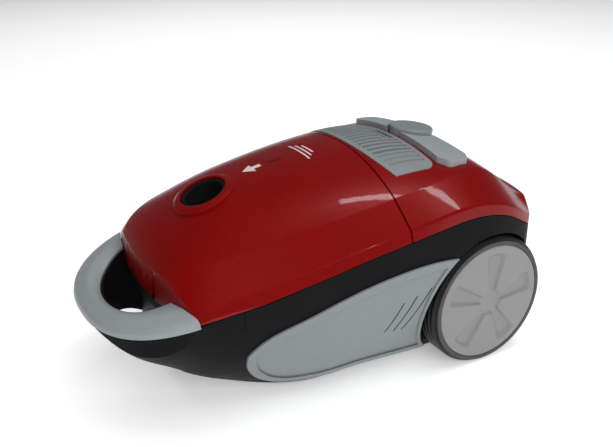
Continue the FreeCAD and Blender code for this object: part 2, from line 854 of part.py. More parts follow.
def pedal_plan(grow):
    """Plan outline of the left pedal wing, cut around the knob."""
    corners = [
        V(pedal_inner - grow, pedal_front - grow, 0), V(pedal_outer - 12, pedal_front + 1 - grow, 0),
        V(pedal_outer + grow, pedal_front + 9, 0), V(pedal_outer - 3 + grow, pedal_rear - 6, 0),
        V(pedal_outer - 14, pedal_rear + grow, 0), V(pedal_inner - grow, pedal_rear + grow, 0)]
    prism = upright_prism(rounded_outline(corners, [1.5, 6.0, 6.0, 5.0, 6.0, 1.5]), 100, 300)
    clear = knob_radius + 1.5 - grow
    return prism.cut(rod(clear, V(0, knob_y, 90), V(0, knob_y, 310)))


pedal_skirt = 7.0             # pedal side below the shell surface
stem_x = 58.0
stem_radius = 3.0
stem_y = 132.0


def pedal():
    """Left pedal: a raised cap with a skirt and a stem."""
    top = shell_solid(-pedal_rise)
    cap = pedal_plan(0.0).common(top)
    cap = cap.common(shell_solid(-pedal_rise)).cut(shell_solid(pedal_skirt))
    hollow = pedal_plan(-pedal_wall).common(shell_solid(-pedal_rise + pedal_wall))
    cap = cap.cut(hollow)
    stem = rod(stem_radius, V(stem_x, stem_y, deck_z - 6),
        V(stem_x, stem_y, 230)).common(shell_solid(-pedal_rise + pedal_wall - 0.5))
    return cap.fuse(stem)


def pedal_spring():
    """Sleeve of the coil spring's size around the pedal stem, as long as the pressed spring."""
    crest = stem_top_z()
    return tube(stem_radius + 2.6, stem_radius + 0.4, V(stem_x, stem_y, deck_z + 2 + pedal_travel + 1),
        V(stem_x, stem_y, crest))


def stem_top_z():
    """Underside of the pedal cap above its stem."""
    values = [between(shell_rows, stem_y, k) for k in range(1, 7)]
    upper_x = values[3] * width_scale
    rise = values[5] - values[4]
    radius = (upper_x ** 2 + rise ** 2) / (2 * rise)
    drop = radius - math.sqrt(radius ** 2 - (stem_x + stem_radius + 2.6) ** 2)
    return values[5] - drop + pedal_rise - pedal_wall - 0.4


knob_axis = V(0, math.sin(math.radians(knob_tilt)), math.cos(math.radians(knob_tilt)))
knob_foot = V(0, knob_y, crown_z(knob_y) + 0.6)
knob_stem_radius = 3.0
pot_top = deck_z + 14.0


def knob_rod(radius, low, high):
    return rod(radius, knob_foot + knob_axis * low, knob_foot + knob_axis * high)


def power_knob():
    disc = knob_rod(knob_radius, 0.0, knob_height)
    rims = [edge for edge in disc.Edges if len(edge.Vertexes) == 1 and edge.BoundBox.ZMax > knob_foot.z + knob_height - 3]
    disc = disc.makeFillet(2.2, rims)
    disc = disc.cut(knob_rod(knob_radius - 2.5, -1, knob_height - 2.5))
    pointer = knob_rod(1.2, knob_height - 0.7, knob_height + 1)
    pointer.translate(V(0, -knob_radius + 6, 0))
    return disc.cut(pointer).fuse(knob_rod(knob_stem_radius, -13.0, knob_height - 2.0))


def suction_control():
    """Rotary control under the knob, standing on the board."""
    body = knob_rod(9.0, -22.0, -14.0)
    sleeve = knob_rod(5.0, -14.0, -8.0)
    return body.fuse(sleeve).cut(knob_rod(knob_stem_radius + slip, -14.0, 0.0))


board_thickness = 1.6


def control_board():
    low = knob_foot + knob_axis * -22.0
    board = box_between(-24, 24, -16, 16, -board_thickness, 0)
    board.rotate(V(0, 0, 0), ACROSS, -knob_tilt)
    board.translate(low)
    return board


def rear_cover():
    cover = shell_outer.common(above_seam).cut(shell_inner).common(far_box_rear)
    cover = cover.cut(grille_prism(0.0))
    ledge = shell_solid(2.4).cut(shell_solid(4.4)).common(grille_prism(-4.0)).cut(grille_prism(5.5))
    duct = shell_solid(4.0).cut(shell_solid(filter_depth - fit_gap)).common(grille_prism(3.5)).cut(grille_prism(5.5))
    cover = cover.fuse(ledge.common(far_box_rear)).fuse(duct)
    deck = shell_solid(wall - 0.5).common(box_between(-200, 200, grille_rear + 3.5, rear_y - 60, deck_z,
        deck_z + 2))
    cover = cover.fuse(deck)
    for wing in (pedal_plan(0.5), mirrored(pedal_plan(0.5))):
        cover = cover.cut(wing.common(box_between(-200, 200, 0, 300, deck_z + 4, 300)))
    cover = cover.cut(knob_rod(knob_radius + 0.6, -0.3, 20)).cut(knob_rod(knob_stem_radius + 2.8, -16, 20))
    for x in (-stem_x, stem_x):
        cover = cover.cut(rod(stem_radius + fit_gap, V(x, stem_y, deck_z - 5), V(x, stem_y, deck_z + 5)))
    for x in (-18.0, 18.0):
        post = rod(3.0, V(x, knob_y, deck_z),
            V(x, knob_y, knob_foot.z - 22.0 * math.cos(math.radians(knob_tilt)) - board_thickness - 0.7))
        cover = cover.fuse(post)
    for x in (-stem_x - 9, -stem_x + 6):
        lug = box_between(x, x + 3, brake_pivot_y - 5, brake_pivot_y + 5, brake_pivot_z - 5, deck_z + 0.5)
        cover = cover.fuse(lug)
    for x in (stem_x - 12.3, stem_x + 10.3):
        cover = cover.fuse(box_between(x, x + 2, stem_y - 5, stem_y + 5, switch_top - 10, deck_z + 0.5))
    return cover.cut(across_rod(brake_pin_radius + slip, brake_pivot_y, brake_pivot_z, -stem_x - 20,
        -stem_x + 20))


tray_top = crown_z(window_y + 5.0) - 3.3


def indicator_tray():
    """Open tray under the window in which the flag slides."""
    top = tray_top
    tray = box_between(-19, 19, window_y - 4.4, window_y + 4.2, top - 4.0, top)
    return tray.cut(box_between(-18, 18, window_y - 3.6, window_y + 3.4, top - 2.8, top + 1))


flag_travel = 9.0


def indicator_flag():
    return box_between(
        -14.0, -14.0 + flag_travel, window_y - 3.3, window_y + 3.1, tray_top - 2.75, tray_top - 1.4)


def exhaust_filter():
    pad = shell_solid(filter_depth).cut(shell_solid(filter_depth + filter_thickness))
    return pad.common(grille_prism(3.5))


# ---- dust chamber ----


def filter_partition():
    """Wall between dust chamber and motor, with the lid's hinge bracket on top."""
    slab = box_between(-300, 300, partition_y, partition_y + partition_thickness, 0, 190)
    below = seam_side(-2.0, False)
    low = slab.common(hull_loft(wall + fit_gap)).common(below)
    high = slab.common(shell_solid(18.0))
    wall_solid = low.fuse(high)
    bars = []
    for i in range(-3, 4):
        x = motor_x + i * 11.4
        bars.append(box_between(x - 4.5, x + 4.5, -10, 60, motor_z - 32, motor_z + 32))
    for bar in bars:
        wall_solid = wall_solid.cut(bar)
    arm = box_between(-14.5, 14.5, partition_y, lid_axis_y + 1.5, 178, lid_axis_z)
    arm = arm.fuse(rod(hinge_knuckle_radius, lid_axis(-14.5), lid_axis(14.5)))
    wall_solid = wall_solid.fuse(arm)
    return wall_solid.cut(rod(hinge_pin_radius + slip, lid_axis(-20), lid_axis(20)))


def lid_hinge_pin():
    return rod(hinge_pin_radius, lid_axis(-hinge_ear_outer - 1.5), lid_axis(hinge_ear_outer + 1.5))


def pre_motor_filter():
    pad = box_between(motor_x - 44, motor_x + 44, partition_y - 10.3, partition_y - fit_gap,
        motor_z - 36, motor_z + 36)
    return pad.makeFillet(3.0, [e for e in pad.Edges if e.BoundBox.YLength > 5])


def chamber_seal():
    """Rubber strip inside the hull's rim around the dust chamber."""
    front = grip_undercut + wall
    outer = hull_loft(wall + 0.2).common(behind_nose(front + 0.2))
    inner = hull_loft(wall + 3.2).common(behind_nose(front + 3.2))
    strip = outer.cut(inner).common(seam_side(-1.0, False)).common(seam_side(-4.0, True))
    return strip.common(box_between(-300, 300, -400, partition_y - 0.5, 0, 300))


plate_depth = inlet_depth + 4.4


def inlet_box(half_x, low_y, high_y, low, high):
    """Flat plate square to the inlet axis, at a depth under the inlet."""
    plate = box_between(-half_x, half_x, low_y, high_y, low, high)
    plate.rotate(V(0, 0, 0), ACROSS, math.degrees(inlet_tilt))
    plate.translate(inlet_centre)
    return plate


def bag_plate():
    plate = inlet_box(42, -37, 37, -plate_depth - 2.0, -plate_depth)
    return plate.cut(inlet_rod(inlet_bore_radius + 0.6, -60, 0))


leg_x = 74.0


def bag_holder():
    frame = inlet_box(47, -42, 42, -plate_depth - 4.6, -plate_depth - 2.1)
    frame = frame.fuse(inlet_box(leg_x + 5, -9, 9, -plate_depth - 4.6, -plate_depth - 2.1))
    frame = frame.cut(inlet_rod(26.0, -60, 0))
    stop = inlet_box(47, -44.5, -42, -plate_depth - 4.6, -plate_depth + 0.5)
    frame = frame.fuse(stop)
    centre = inlet_centre - inlet_axis * (plate_depth + 3.3)
    leg = box_between(leg_x, leg_x + 5, centre.y - 7, centre.y + 4, 8, centre.z - 2)
    leg = leg.common(hull_loft(wall + 0.2))
    return frame.fuse(leg).fuse(mirrored(leg))


def dust_bag():
    """Paper bag, filled, with its mouth below the cardboard plate."""
    outline = [(-145, 55), (-145, 110), (-122, 128), (-54, 166), (6, 174), (6, 55)]
    spots = [V(0, place_y(y) if y < 0 else y, z) for y, z in outline]
    face = Part.Face(Part.makePolygon(spots + [spots[0]]))
    face.translate(V(-66, 0, 0))
    bag = face.extrude(V(132, 0, 0))
    bag = bag.makeFillet(9.0, bag.Edges)
    return bag.fuse(inlet_rod(inlet_bore_radius + 0.3, -60, -plate_depth - 0.5).cut(inlet_rod(15, -53, 0)))


# ---- motor ----
def motor_spot(y):
    return V(motor_x, y, motor_z)


def motor_rod(radius, y0, y1):
    return rod(radius, motor_spot(y0), motor_spot(y1))


shaft_radius = 4.0
bearing_radius = 9.0
can_front_y = fan_front_y + fan_cover_length
can_rear_y = can_front_y + motor_can_length
core_y0 = can_front_y + 12.0
core_y1 = core_y0 + 32.0


def motor_front_gasket():
    front = partition_y + partition_thickness
    return motor_rod(50.0, front, fan_front_y).cut(motor_rod(42.0, front - 1, fan_front_y + 1))


def fan_cover():
    cover = motor_rod(fan_cover_radius, fan_front_y, can_front_y)
    cover = cover.cut(motor_rod(fan_cover_radius - 1.5, fan_front_y + 1.5, can_front_y - 5))
    cover = cover.cut(motor_rod(20.0, fan_front_y - 1, fan_front_y + 3))
    cover = cover.cut(motor_rod(bearing_radius, can_front_y - 6, can_front_y + 1))
    for i in range(8):
        hole = motor_rod(5.0, can_front_y - 6, can_front_y + 1)
        hole.translate(V(27, 0, 0))
        hole.rotate(motor_spot(0), ALONG, i * 45.0)
        cover = cover.cut(hole)
    return cover


def impeller():
    radius = fan_cover_radius - 5.0
    y0 = fan_front_y + 4.0
    fan = motor_rod(radius, y0 + 12,
        y0 + 13.5).fuse(motor_rod(radius, y0, y0 + 1.2).cut(motor_rod(18.0, y0 - 1, y0 + 2)))
    for i in range(9):
        blade = box_between(motor_x + 17, motor_x + radius - 1, y0 + 1, y0 + 12.3, motor_z - 0.6,
            motor_z + 0.6)
        blade.rotate(motor_spot(0) + V(17, 0, 0), ALONG, 35)
        blade.rotate(motor_spot(0), ALONG, i * 40.0)
        fan = fan.fuse(blade)
    fan = fan.common(motor_rod(radius, y0 - 1, y0 + 20))
    fan = fan.fuse(motor_rod(9.0, y0 + 8, y0 + 16))
    return fan.cut(motor_rod(shaft_radius, y0 - 5, y0 + 40))


def armature():
    shaft = motor_rod(shaft_radius, fan_front_y + 8.0, can_rear_y + 5)
    core = motor_rod(22.5, core_y0, core_y1)
    for i in range(12):
        groove = motor_rod(1.6, core_y0 - 1, core_y1 + 1)
        groove.translate(V(21.5, 0, 0))
        groove.rotate(motor_spot(0), ALONG, i * 30.0)
        core = core.cut(groove)
    commutator = motor_rod(12.0, core_y1 + 3, core_y1 + 11)
    return shaft.fuse(core).fuse(commutator)


def motor_can():
    can = motor_rod(motor_can_radius, can_front_y, can_rear_y)
    can = can.cut(motor_rod(motor_can_radius - 1.5, can_front_y - 1, can_rear_y - 2.5))
    return can.cut(motor_rod(bearing_radius, can_rear_y - 4, can_rear_y + 1))


def motor_stator():
    stator = motor_rod(motor_can_radius - 1.6, core_y0,
        core_y1).cut(motor_rod(23.3, core_y0 - 1, core_y1 + 1))
    for side in (-1, 1):
        x = motor_x + side * 30.0
        stator = stator.cut(box_between(x - 4, x + 4, core_y0 - 1, core_y1 + 1, motor_z - 8, motor_z + 8))
    return stator


def motor_bearings():
    front = motor_rod(bearing_radius, can_front_y - 5,
        can_front_y).cut(motor_rod(shaft_radius + slip, 0, 200))
    rear = motor_rod(bearing_radius, can_rear_y - 2.5,
        can_rear_y + 2.5).cut(motor_rod(shaft_radius + slip, 0, 200))
    return Part.makeCompound([front, rear])


def carbon_brushes():
    y0 = core_y1 + 4.0
    brushes = []
    for side in (-1, 1):
        near = motor_x + side * 12.3
        far = motor_x + side * (motor_can_radius - 2.0)
        brushes.append(box_between(min(near, far), max(near, far), y0, y0 + 6, motor_z - 4, motor_z + 4))
    return Part.makeCompound(brushes)


def motor_rear_mount():
    return motor_rod(22.0, can_rear_y, motor_foot_y).cut(motor_rod(11.0, can_rear_y - 1, motor_foot_y + 1))


def motor_bracket():
    plate = box_between(motor_x - 28, motor_x + 28, motor_foot_y, motor_foot_y + 3, foot_z, motor_z + 24)
    foot = box_between(motor_x - 28, motor_x + 28, motor_foot_y, motor_foot_y + 20, foot_z, foot_z + 3)
    bracket = plate.fuse(foot).cut(motor_rod(10.0, motor_foot_y - 5, motor_foot_y + 9))
    for x, y in screw_places[:2]:
        bracket = bracket.cut(rod(screw_radius + 0.2, V(x, y, foot_z - 1), V(x, y, foot_z + 5)))
    return bracket


def bracket_screws():
    screws = []
    for i, (x, y) in enumerate(screw_places):
        seat = foot_z + 3.0 if i < 2 else foot_z + 2.5
        screw = rod(screw_radius, V(x, y, foot_z - 6.5), V(x, y, seat + 1))
        head = rod(3.2, V(x, y, seat), V(x, y, seat + 2.0))
        cross = box_between(x - 2, x + 2, y - 0.4, y + 0.4, seat + 1.0, seat + 3)
        turned = cross.copy()
        turned.rotate(V(x, y, 0), UP, 90)
        screws.append(screw.fuse(head).cut(cross).cut(turned))
    return Part.makeCompound(screws)


# ---- cord reel ----
reel_axle_radius = 4.0
reel_right_x = reel_left_x + reel_width
flange_thickness = 1.6


def reel_rod(radius, x0, x1):
    return across_rod(radius, reel_y, reel_z, x0, x1)


def reel_bracket():
    left = reel_left_x - 3.4
    right = reel_right_x + 5.0
    base = box_between(left, right + 2, reel_y - 20, reel_y + 20, foot_z, foot_z + 2.5)
    for x in (left, right):
        side = box_between(x, x + 2, reel_y - 14, reel_y + 14, foot_z, reel_z)
        base = base.fuse(side).fuse(reel_rod(14.0, x, x + 2))
    base = base.cut(reel_rod(reel_axle_radius + slip, left - 1, right + 3))
    for x, y in screw_places[2:]:
        base = base.cut(rod(screw_radius + 0.2, V(x, y, foot_z - 1), V(x, y, foot_z + 5)))
    return base


def reel_axle():
    return reel_rod(reel_axle_radius, reel_left_x - 3.9, reel_right_x + 7.4)


def cord_drum():
    drum = reel_rod(26.0, reel_left_x, reel_right_x).cut(reel_rod(23.0, reel_left_x + 2, reel_right_x + 1))
    for x in (reel_left_x, reel_right_x - flange_thickness):
        flange = reel_rod(reel_radius, x, x + flange_thickness)
        if x > reel_left_x:
            flange = flange.cut(reel_rod(23.0, x - 1, x + 3))
        for i in range(6):
            hole = across_rod(9.0, reel_y + 45, reel_z, x - 1, x + 3)
            hole.rotate(V(0, reel_y, reel_z), ACROSS, i * 60.0)
            flange = flange.cut(hole)
        drum = drum.fuse(flange)
    drum = drum.fuse(reel_rod(8.0, reel_left_x, reel_right_x))
    return drum.cut(reel_rod(reel_axle_radius + slip, reel_left_x - 1, reel_right_x + 1))


def reel_spring():
    """Flat coil spring of the reel, drawn as its closed housing."""
    return reel_rod(22.0, reel_right_x + 0.4,
        reel_right_x + 4.8).cut(reel_rod(reel_axle_radius + slip, -200, 0))


brake_roller_radius = 6.0


def brake_lever():
    """Lever whose front roller rests on the drum flanges and whose rear end lies under the pedal."""
    x = -stem_x
    hub = across_rod(4.5, brake_pivot_y, brake_pivot_z, x - 5.7, x + 5.7)
    reach = reel_radius + brake_roller_radius + fit_gap
    roller_y = brake_pivot_y - 20.0
    roller_z = reel_z + math.sqrt(reach ** 2 - (reel_y - roller_y) ** 2)
    rear = box_between(x - 4, x + 4, brake_pivot_y, stem_y + 4, deck_z - 9.3, deck_z - 6.0 - fit_gap)
    strut = box_between(x - 4, x + 4, brake_pivot_y - 2, brake_pivot_y + 3, brake_pivot_z, deck_z - 7.0)
    span = V(0, roller_y - brake_pivot_y, roller_z - brake_pivot_z)
    arm = Part.makeBox(8, span.Length, 4, V(x - 4, 0, -2))
    arm.rotate(V(0, 0, 0), ACROSS, math.degrees(math.atan2(-span.z, -span.y)) + 180.0)
    arm.translate(V(0, brake_pivot_y, brake_pivot_z))
    roller = across_rod(brake_roller_radius, roller_y, roller_z, reel_left_x + 0.5, reel_right_x - 0.5)
    lever = hub.fuse(rear).fuse(strut).fuse(arm).fuse(roller)
    return lever.cut(across_rod(brake_pin_radius + slip, brake_pivot_y, brake_pivot_z, x - 20, x + 20))


def brake_pin():
    return across_rod(brake_pin_radius, brake_pivot_y, brake_pivot_z, -stem_x - 9.5, -stem_x + 9.5)


def power_switch():
    body = box_between(stem_x - 10, stem_x + 10, stem_y - 5, stem_y + 5, switch_top - 14, switch_top)
    for x in (-5, 5):
        body = body.fuse(box_between(stem_x + x - 0.4, stem_x + x + 0.4, stem_y - 2, stem_y + 2,
            switch_top - 19, switch_top - 14))
    return body


def outlet_bush():
    start_y = place_y(rear_centre_y)
    share = 1 - (abs(outlet_x) / (body_half_width + 1.0)) ** rear_power
    skin_y = start_y + (rear_y - start_y) * share ** (1 / rear_power)
    bush = tube(outlet_radius, outlet_radius - 2.6, V(outlet_x, skin_y - 6, outlet_z),
        V(outlet_x, skin_y + 1.0, outlet_z))
    collar = tube(outlet_radius + 3, outlet_radius - 2.6, V(outlet_x, skin_y - 7, outlet_z),
        V(outlet_x, skin_y - 4.2, outlet_z))
    return bush.fuse(collar)


# ---- caster ----
caster_axle_y = caster_y + caster_trail
caster_axle_radius = 2.0


def caster_fork():
    fork = rod(24.0, V(0, caster_y, 32), V(0, caster_y, 36))
    fork = fork.fuse(rod(9.0, V(0, caster_y, 35), V(0, caster_y, caster_pocket_top - fit_gap)))
    fork = fork.fuse(rod(caster_stem_radius, V(0, caster_y, 34), V(0, caster_y, caster_boss_top + 2)))
    for side in (-1, 1):
        x = side * (caster_wheel_width / 2 + 2.0)
        spots = [(caster_y - 6, 33), (caster_axle_y + 8, 33), (caster_axle_y + 5, 11),
            (caster_axle_y - 5, 11)]
        spots = [V(x - 1.4, y, z) for y, z in spots]
        cheek = Part.Face(Part.makePolygon(spots + [spots[0]])).extrude(V(2.8, 0, 0))
        fork = fork.fuse(cheek)
    return fork.cut(across_rod(caster_axle_radius + slip, caster_axle_y, caster_wheel_radius, -30, 30))


def caster_wheel():
    half = caster_wheel_width / 2
    wheel = across_rod(caster_wheel_radius, caster_axle_y, caster_wheel_radius, -half, half)
    wheel = wheel.makeFillet(2.0, [e for e in wheel.Edges if len(e.Vertexes) == 1])
    return wheel.cut(across_rod(caster_axle_radius + slip, caster_axle_y, caster_wheel_radius, -half - 1,
        half + 1))


def caster_pin():
    reach = caster_wheel_width / 2 + 3.6
    return across_rod(caster_axle_radius, caster_axle_y, caster_wheel_radius, -reach, reach)


def caster_clip():
    low = V(0, caster_y, caster_boss_top + 0.2)
    high = V(0, caster_y, caster_boss_top + 1.7)
    return tube(caster_stem_radius + 3.0, caster_stem_radius, low, high)


# ---- rear wheels ----
hub_radius = 12.0
rim_inner_radius = hub_cap_radius + fit_gap
tyre_seat_radius = wheel_radius - tyre_thickness
cap_back_x = wheel_face_x - hub_cap_thickness
pin_head_x = cap_back_x - 8.0


def wheel_rod(radius, x0, x1):
    return across_rod(radius, wheel_y, wheel_z, x0, x1)


def wheel_rim():
    barrel = wheel_rod(tyre_seat_radius, wheel_back_x + 1, wheel_face_x - 1.5)
    barrel = barrel.cut(wheel_rod(rim_inner_radius, wheel_back_x, wheel_face_x))
    lip = wheel_rod(tyre_seat_radius + 2.2, wheel_face_x - 4.0, wheel_face_x - 1.5).cut(
        wheel_rod(rim_inner_radius, wheel_back_x, wheel_face_x))
    web = wheel_rod(rim_inner_radius + 0.5, pin_head_x, pin_head_x + 3)
    hub = wheel_rod(hub_radius, wheel_back_x - 1.5, pin_head_x + 4)
    rim = barrel.fuse(lip).fuse(web).fuse(hub)
    for i in range(6):
        rib = box_between(wheel_back_x + 6, pin_head_x + 1, wheel_y - 1.5, wheel_y + 1.5, wheel_z + 5,
            wheel_z + rim_inner_radius + 0.5)
        rib.rotate(V(0, wheel_y, wheel_z), ACROSS, i * 60.0)
        rim = rim.fuse(rib)
    rim = rim.cut(wheel_rod(axle_radius + slip, 0, 300))
    return rim.cut(wheel_rod(7.4, pin_head_x, 300))


def tyre():
    ring = wheel_rod(wheel_radius, wheel_back_x, wheel_face_x - 4.2)
    ring = ring.makeFillet(2.6, [e for e in ring.Edges if len(e.Vertexes) == 1])
    for k in range(3):
        x = wheel_back_x + 7.0 + k * 6.0
        ring = ring.cut(wheel_rod(wheel_radius + 2, x,
            x + 1.2).cut(wheel_rod(wheel_radius - 1.0, x, x + 1.2)))
    return ring.cut(wheel_rod(tyre_seat_radius, wheel_back_x - 1, wheel_face_x + 1))


def cap_pocket():
    """One recessed sector of the five-spoke hub cap, pointing up."""
    inner = 15.0
    outer = hub_cap_radius - 8.5
    near = inner * math.tan(math.radians(20))
    far = outer * math.tan(math.radians(26))
    corners = [V(-near, inner, 0), V(near, inner, 0), V(far, outer * 0.93, 0), V(0, outer * 1.08, 0),
        V(-far, outer * 0.93, 0)]
    face = Part.Face(rounded_outline(corners, [4.0, 4.0, 8.0, 40.0, 8.0]))
    pocket = face.extrude(V(0, 0, 8))
    rims = [e for e in pocket.Edges if e.BoundBox.ZMax < 1e-3]
    pocket = pocket.makeFillet(1.8, rims)
    pocket.rotate(V(0, 0, 0), ACROSS, 90)
    pocket.rotate(V(0, 0, 0), UP, 90)
    return pocket


def hub_cap():
    edge_x = wheel_face_x - 1.3
    profile = Part.Wire([
        line(V(cap_back_x, 0, 0), V(wheel_face_x, 0, 0)),
        arc(V(wheel_face_x, 0, 0), V(wheel_face_x - 0.3, hub_cap_radius * 0.5, 0),
            V(edge_x, hub_cap_radius - 1.5, 0)),
        arc(V(edge_x, hub_cap_radius - 1.5, 0), V(edge_x - 0.5, hub_cap_radius - 0.4, 0),
            V(edge_x - 1.6, hub_cap_radius, 0)),
        line(V(edge_x - 1.6, hub_cap_radius, 0), V(cap_back_x, hub_cap_radius, 0)),
        line(V(cap_back_x, hub_cap_radius, 0), V(cap_back_x, 0, 0)),
    ])
    cap = Part.Face(profile).revolve(V(0, 0, 0), ACROSS, 360)
    for i in range(5):
        pocket = cap_pocket()
        pocket.rotate(V(0, 0, 0), ACROSS, i * 72.0 + 14.0)
        pocket.translate(V(wheel_face_x - 3.2, 0, 0))
        cap = cap.cut(pocket)
    cap = cap.fuse(Part.makeCylinder(hub_radius - 1, 4.5, V(cap_back_x - 4.0, 0, 0), ACROSS))
    cap = cap.cut(Part.makeCylinder(7.4, 5.0, V(cap_back_x - 4.5, 0, 0), ACROSS))
    cap.translate(V(0, wheel_y, wheel_z))
    return cap


def axle_pin():
    pin = wheel_rod(axle_radius, axle_boss_x + 1, pin_head_x + 1)
    return pin.fuse(wheel_rod(6.8, pin_head_x + 0.3, pin_head_x + 2.5))


def latch_pin():
    return latch_pin_rod(0.0)


# ---- write every piece ----
pairs = {
    "side_panel": side_panel, "wheel_rim": wheel_rim, "tyre": tyre, "hub_cap": hub_cap, "axle_pin": axle_pin,
}
singles = {
    "lower_chassis": lower_chassis, "front_handle": front_handle, "rear_cover": rear_cover,
    "exhaust_grille": exhaust_grille, "exhaust_filter": exhaust_filter, "indicator_window": indicator_window,
    "indicator_tray": indicator_tray, "indicator_flag": indicator_flag, "filter_partition": filter_partition,
    "lid_hinge_pin": lid_hinge_pin, "pre_motor_filter": pre_motor_filter, "chamber_seal": chamber_seal,
    "bag_plate": bag_plate, "bag_holder": bag_holder, "dust_bag": dust_bag,
    "motor_front_gasket": motor_front_gasket, "fan_cover": fan_cover, "impeller": impeller,
    "armature": armature, "motor_can": motor_can, "motor_stator": motor_stator,
    "motor_bearings": motor_bearings, "carbon_brushes": carbon_brushes, "motor_rear_mount": motor_rear_mount,
    "motor_bracket": motor_bracket, "bracket_screws": bracket_screws, "reel_bracket": reel_bracket,
    "reel_axle": reel_axle, "cord_drum": cord_drum, "reel_spring": reel_spring, "brake_lever": brake_lever,
    "brake_pin": brake_pin, "power_switch": power_switch, "outlet_bush": outlet_bush,
    "control_board": control_board, "suction_control": suction_control, "caster_fork": caster_fork,
    "caster_wheel": caster_wheel, "caster_pin": caster_pin, "caster_clip": caster_clip,
    "dust_lid": dust_lid, "inlet_collar": inlet_collar, "inlet_gasket": inlet_gasket,
    "lid_latch": lid_latch, "latch_pin": latch_pin, "power_knob": power_knob,
}
for name, make in singles.items():
    save(name, make())
for name, make in pairs.items():
    left = make()
    save(name + "_left", left)
    save(name + "_right", mirrored(left))
left_pedal = pedal()
left_spring = pedal_spring()
save("power_pedal", left_pedal)
save("power_pedal_spring", left_spring)
save("cord_pedal", mirrored(left_pedal))
save("cord_pedal_spring", mirrored(left_spring))
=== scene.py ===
import json
import math

import bmesh
import bpy
from mathutils import Matrix, Vector
from mathutils.bvhtree import BVHTree


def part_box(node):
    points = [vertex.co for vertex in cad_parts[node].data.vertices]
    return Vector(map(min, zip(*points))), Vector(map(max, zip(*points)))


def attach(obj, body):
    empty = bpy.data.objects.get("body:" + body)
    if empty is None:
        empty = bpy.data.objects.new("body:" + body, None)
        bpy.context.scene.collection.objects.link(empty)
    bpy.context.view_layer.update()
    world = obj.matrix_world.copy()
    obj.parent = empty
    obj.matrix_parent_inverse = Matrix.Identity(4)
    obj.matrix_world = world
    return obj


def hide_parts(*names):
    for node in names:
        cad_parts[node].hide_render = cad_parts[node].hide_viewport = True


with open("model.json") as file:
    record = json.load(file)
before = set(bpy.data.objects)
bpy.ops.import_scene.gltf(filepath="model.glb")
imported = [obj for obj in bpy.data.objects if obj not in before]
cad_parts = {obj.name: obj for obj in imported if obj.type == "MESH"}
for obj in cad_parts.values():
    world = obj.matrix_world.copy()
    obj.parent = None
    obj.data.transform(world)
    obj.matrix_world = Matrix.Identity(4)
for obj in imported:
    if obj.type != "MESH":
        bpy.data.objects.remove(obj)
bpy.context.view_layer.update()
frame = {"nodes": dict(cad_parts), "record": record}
record = frame["record"]
scene = bpy.context.scene


# ---- camera, light and floor ----
def look_at(eye, target, roll=0.0):
    """Rotation that points a camera or light from eye to target."""
    back = (eye - target).normalized()
    right = Vector((0, 0, 1)).cross(back).normalized()
    up = back.cross(right)
    turn = Matrix((right, up, back)).transposed().to_4x4()
    return Matrix.Translation(eye) @ turn @ Matrix.Rotation(roll, 4, "Z")


CAMERA_AZIMUTH = math.radians(60.1)
CAMERA_HEIGHT = math.radians(24.5)
CAMERA_ROLL = math.radians(-0.5)
CAMERA_DISTANCE = 0.8253
CAMERA_TARGET = Vector((0.0, 0.0075, 0.134))
CAMERA_LENS = 46.98


def add_camera():
    data = bpy.data.cameras.new("camera")
    data.lens = CAMERA_LENS
    data.sensor_width = 36.0
    data.clip_start = 0.02
    data.clip_end = 30.0
    camera = bpy.data.objects.new("camera", data)
    scene.collection.objects.link(camera)
    toward = Vector((
        math.sin(CAMERA_AZIMUTH) * math.cos(CAMERA_HEIGHT),
        -math.cos(CAMERA_AZIMUTH) * math.cos(CAMERA_HEIGHT),
        math.sin(CAMERA_HEIGHT)))
    camera.matrix_world = look_at(CAMERA_TARGET + toward * CAMERA_DISTANCE, CAMERA_TARGET, CAMERA_ROLL)
    scene.camera = camera


def add_light(name, eye, target, size_x, size_y, power, shows=False):
    """Softbox; shows says whether glossy surfaces mirror it."""
    data = bpy.data.lights.new(name, "AREA")
    data.shape = "RECTANGLE"
    data.size = size_x
    data.size_y = size_y
    data.energy = power
    light = bpy.data.objects.new(name, data)
    scene.collection.objects.link(light)
    light.matrix_world = look_at(Vector(eye), Vector(target))
    light.visible_glossy = shows


def add_lights():
    centre = (0.0, 0.0, 0.1)
    add_light("fill_top", (0.4, 0.0, 2.4), centre, 2.6, 2.6, 38.0)
    add_light("fill_side", (2.0, -0.6, 1.3), centre, 1.8, 1.2, 34.0)
    add_light("fill_front", (-0.4, -2.4, 1.0), centre, 1.6, 1.0, 4.0)
    add_light("fill_rear", (1.2, 2.2, 1.2), centre, 1.6, 1.0, 12.0)
    add_light("fill_back", (-1.8, 0.8, 1.4), centre, 1.6, 1.0, 10.0)
    add_light("key_lamp", (0.15, 0.75, 1.9), centre, 0.12, 0.6, 5.0, True)
    add_light("side_lamp", (1.6, 0.35, 1.15), centre, 0.10, 0.22, 1.4, True)
    world = bpy.data.worlds.new("studio")
    world.use_nodes = True
    back = world.node_tree.nodes["Background"]
    back.inputs["Color"].default_value = (0.95, 0.97, 1.0, 1.0)
    back.inputs["Strength"].default_value = 0.12
    scene.world = world
    scene.view_settings.view_transform = "Standard"


def add_floor():
    bm = bmesh.new()
    bmesh.ops.create_grid(bm, x_segments=24, y_segments=24, size=6.0)
    mesh = bpy.data.meshes.new("floor")
    bm.to_mesh(mesh)
    bm.free()
    floor = bpy.data.objects.new("floor", mesh)
    scene.collection.objects.link(floor)
    return floor


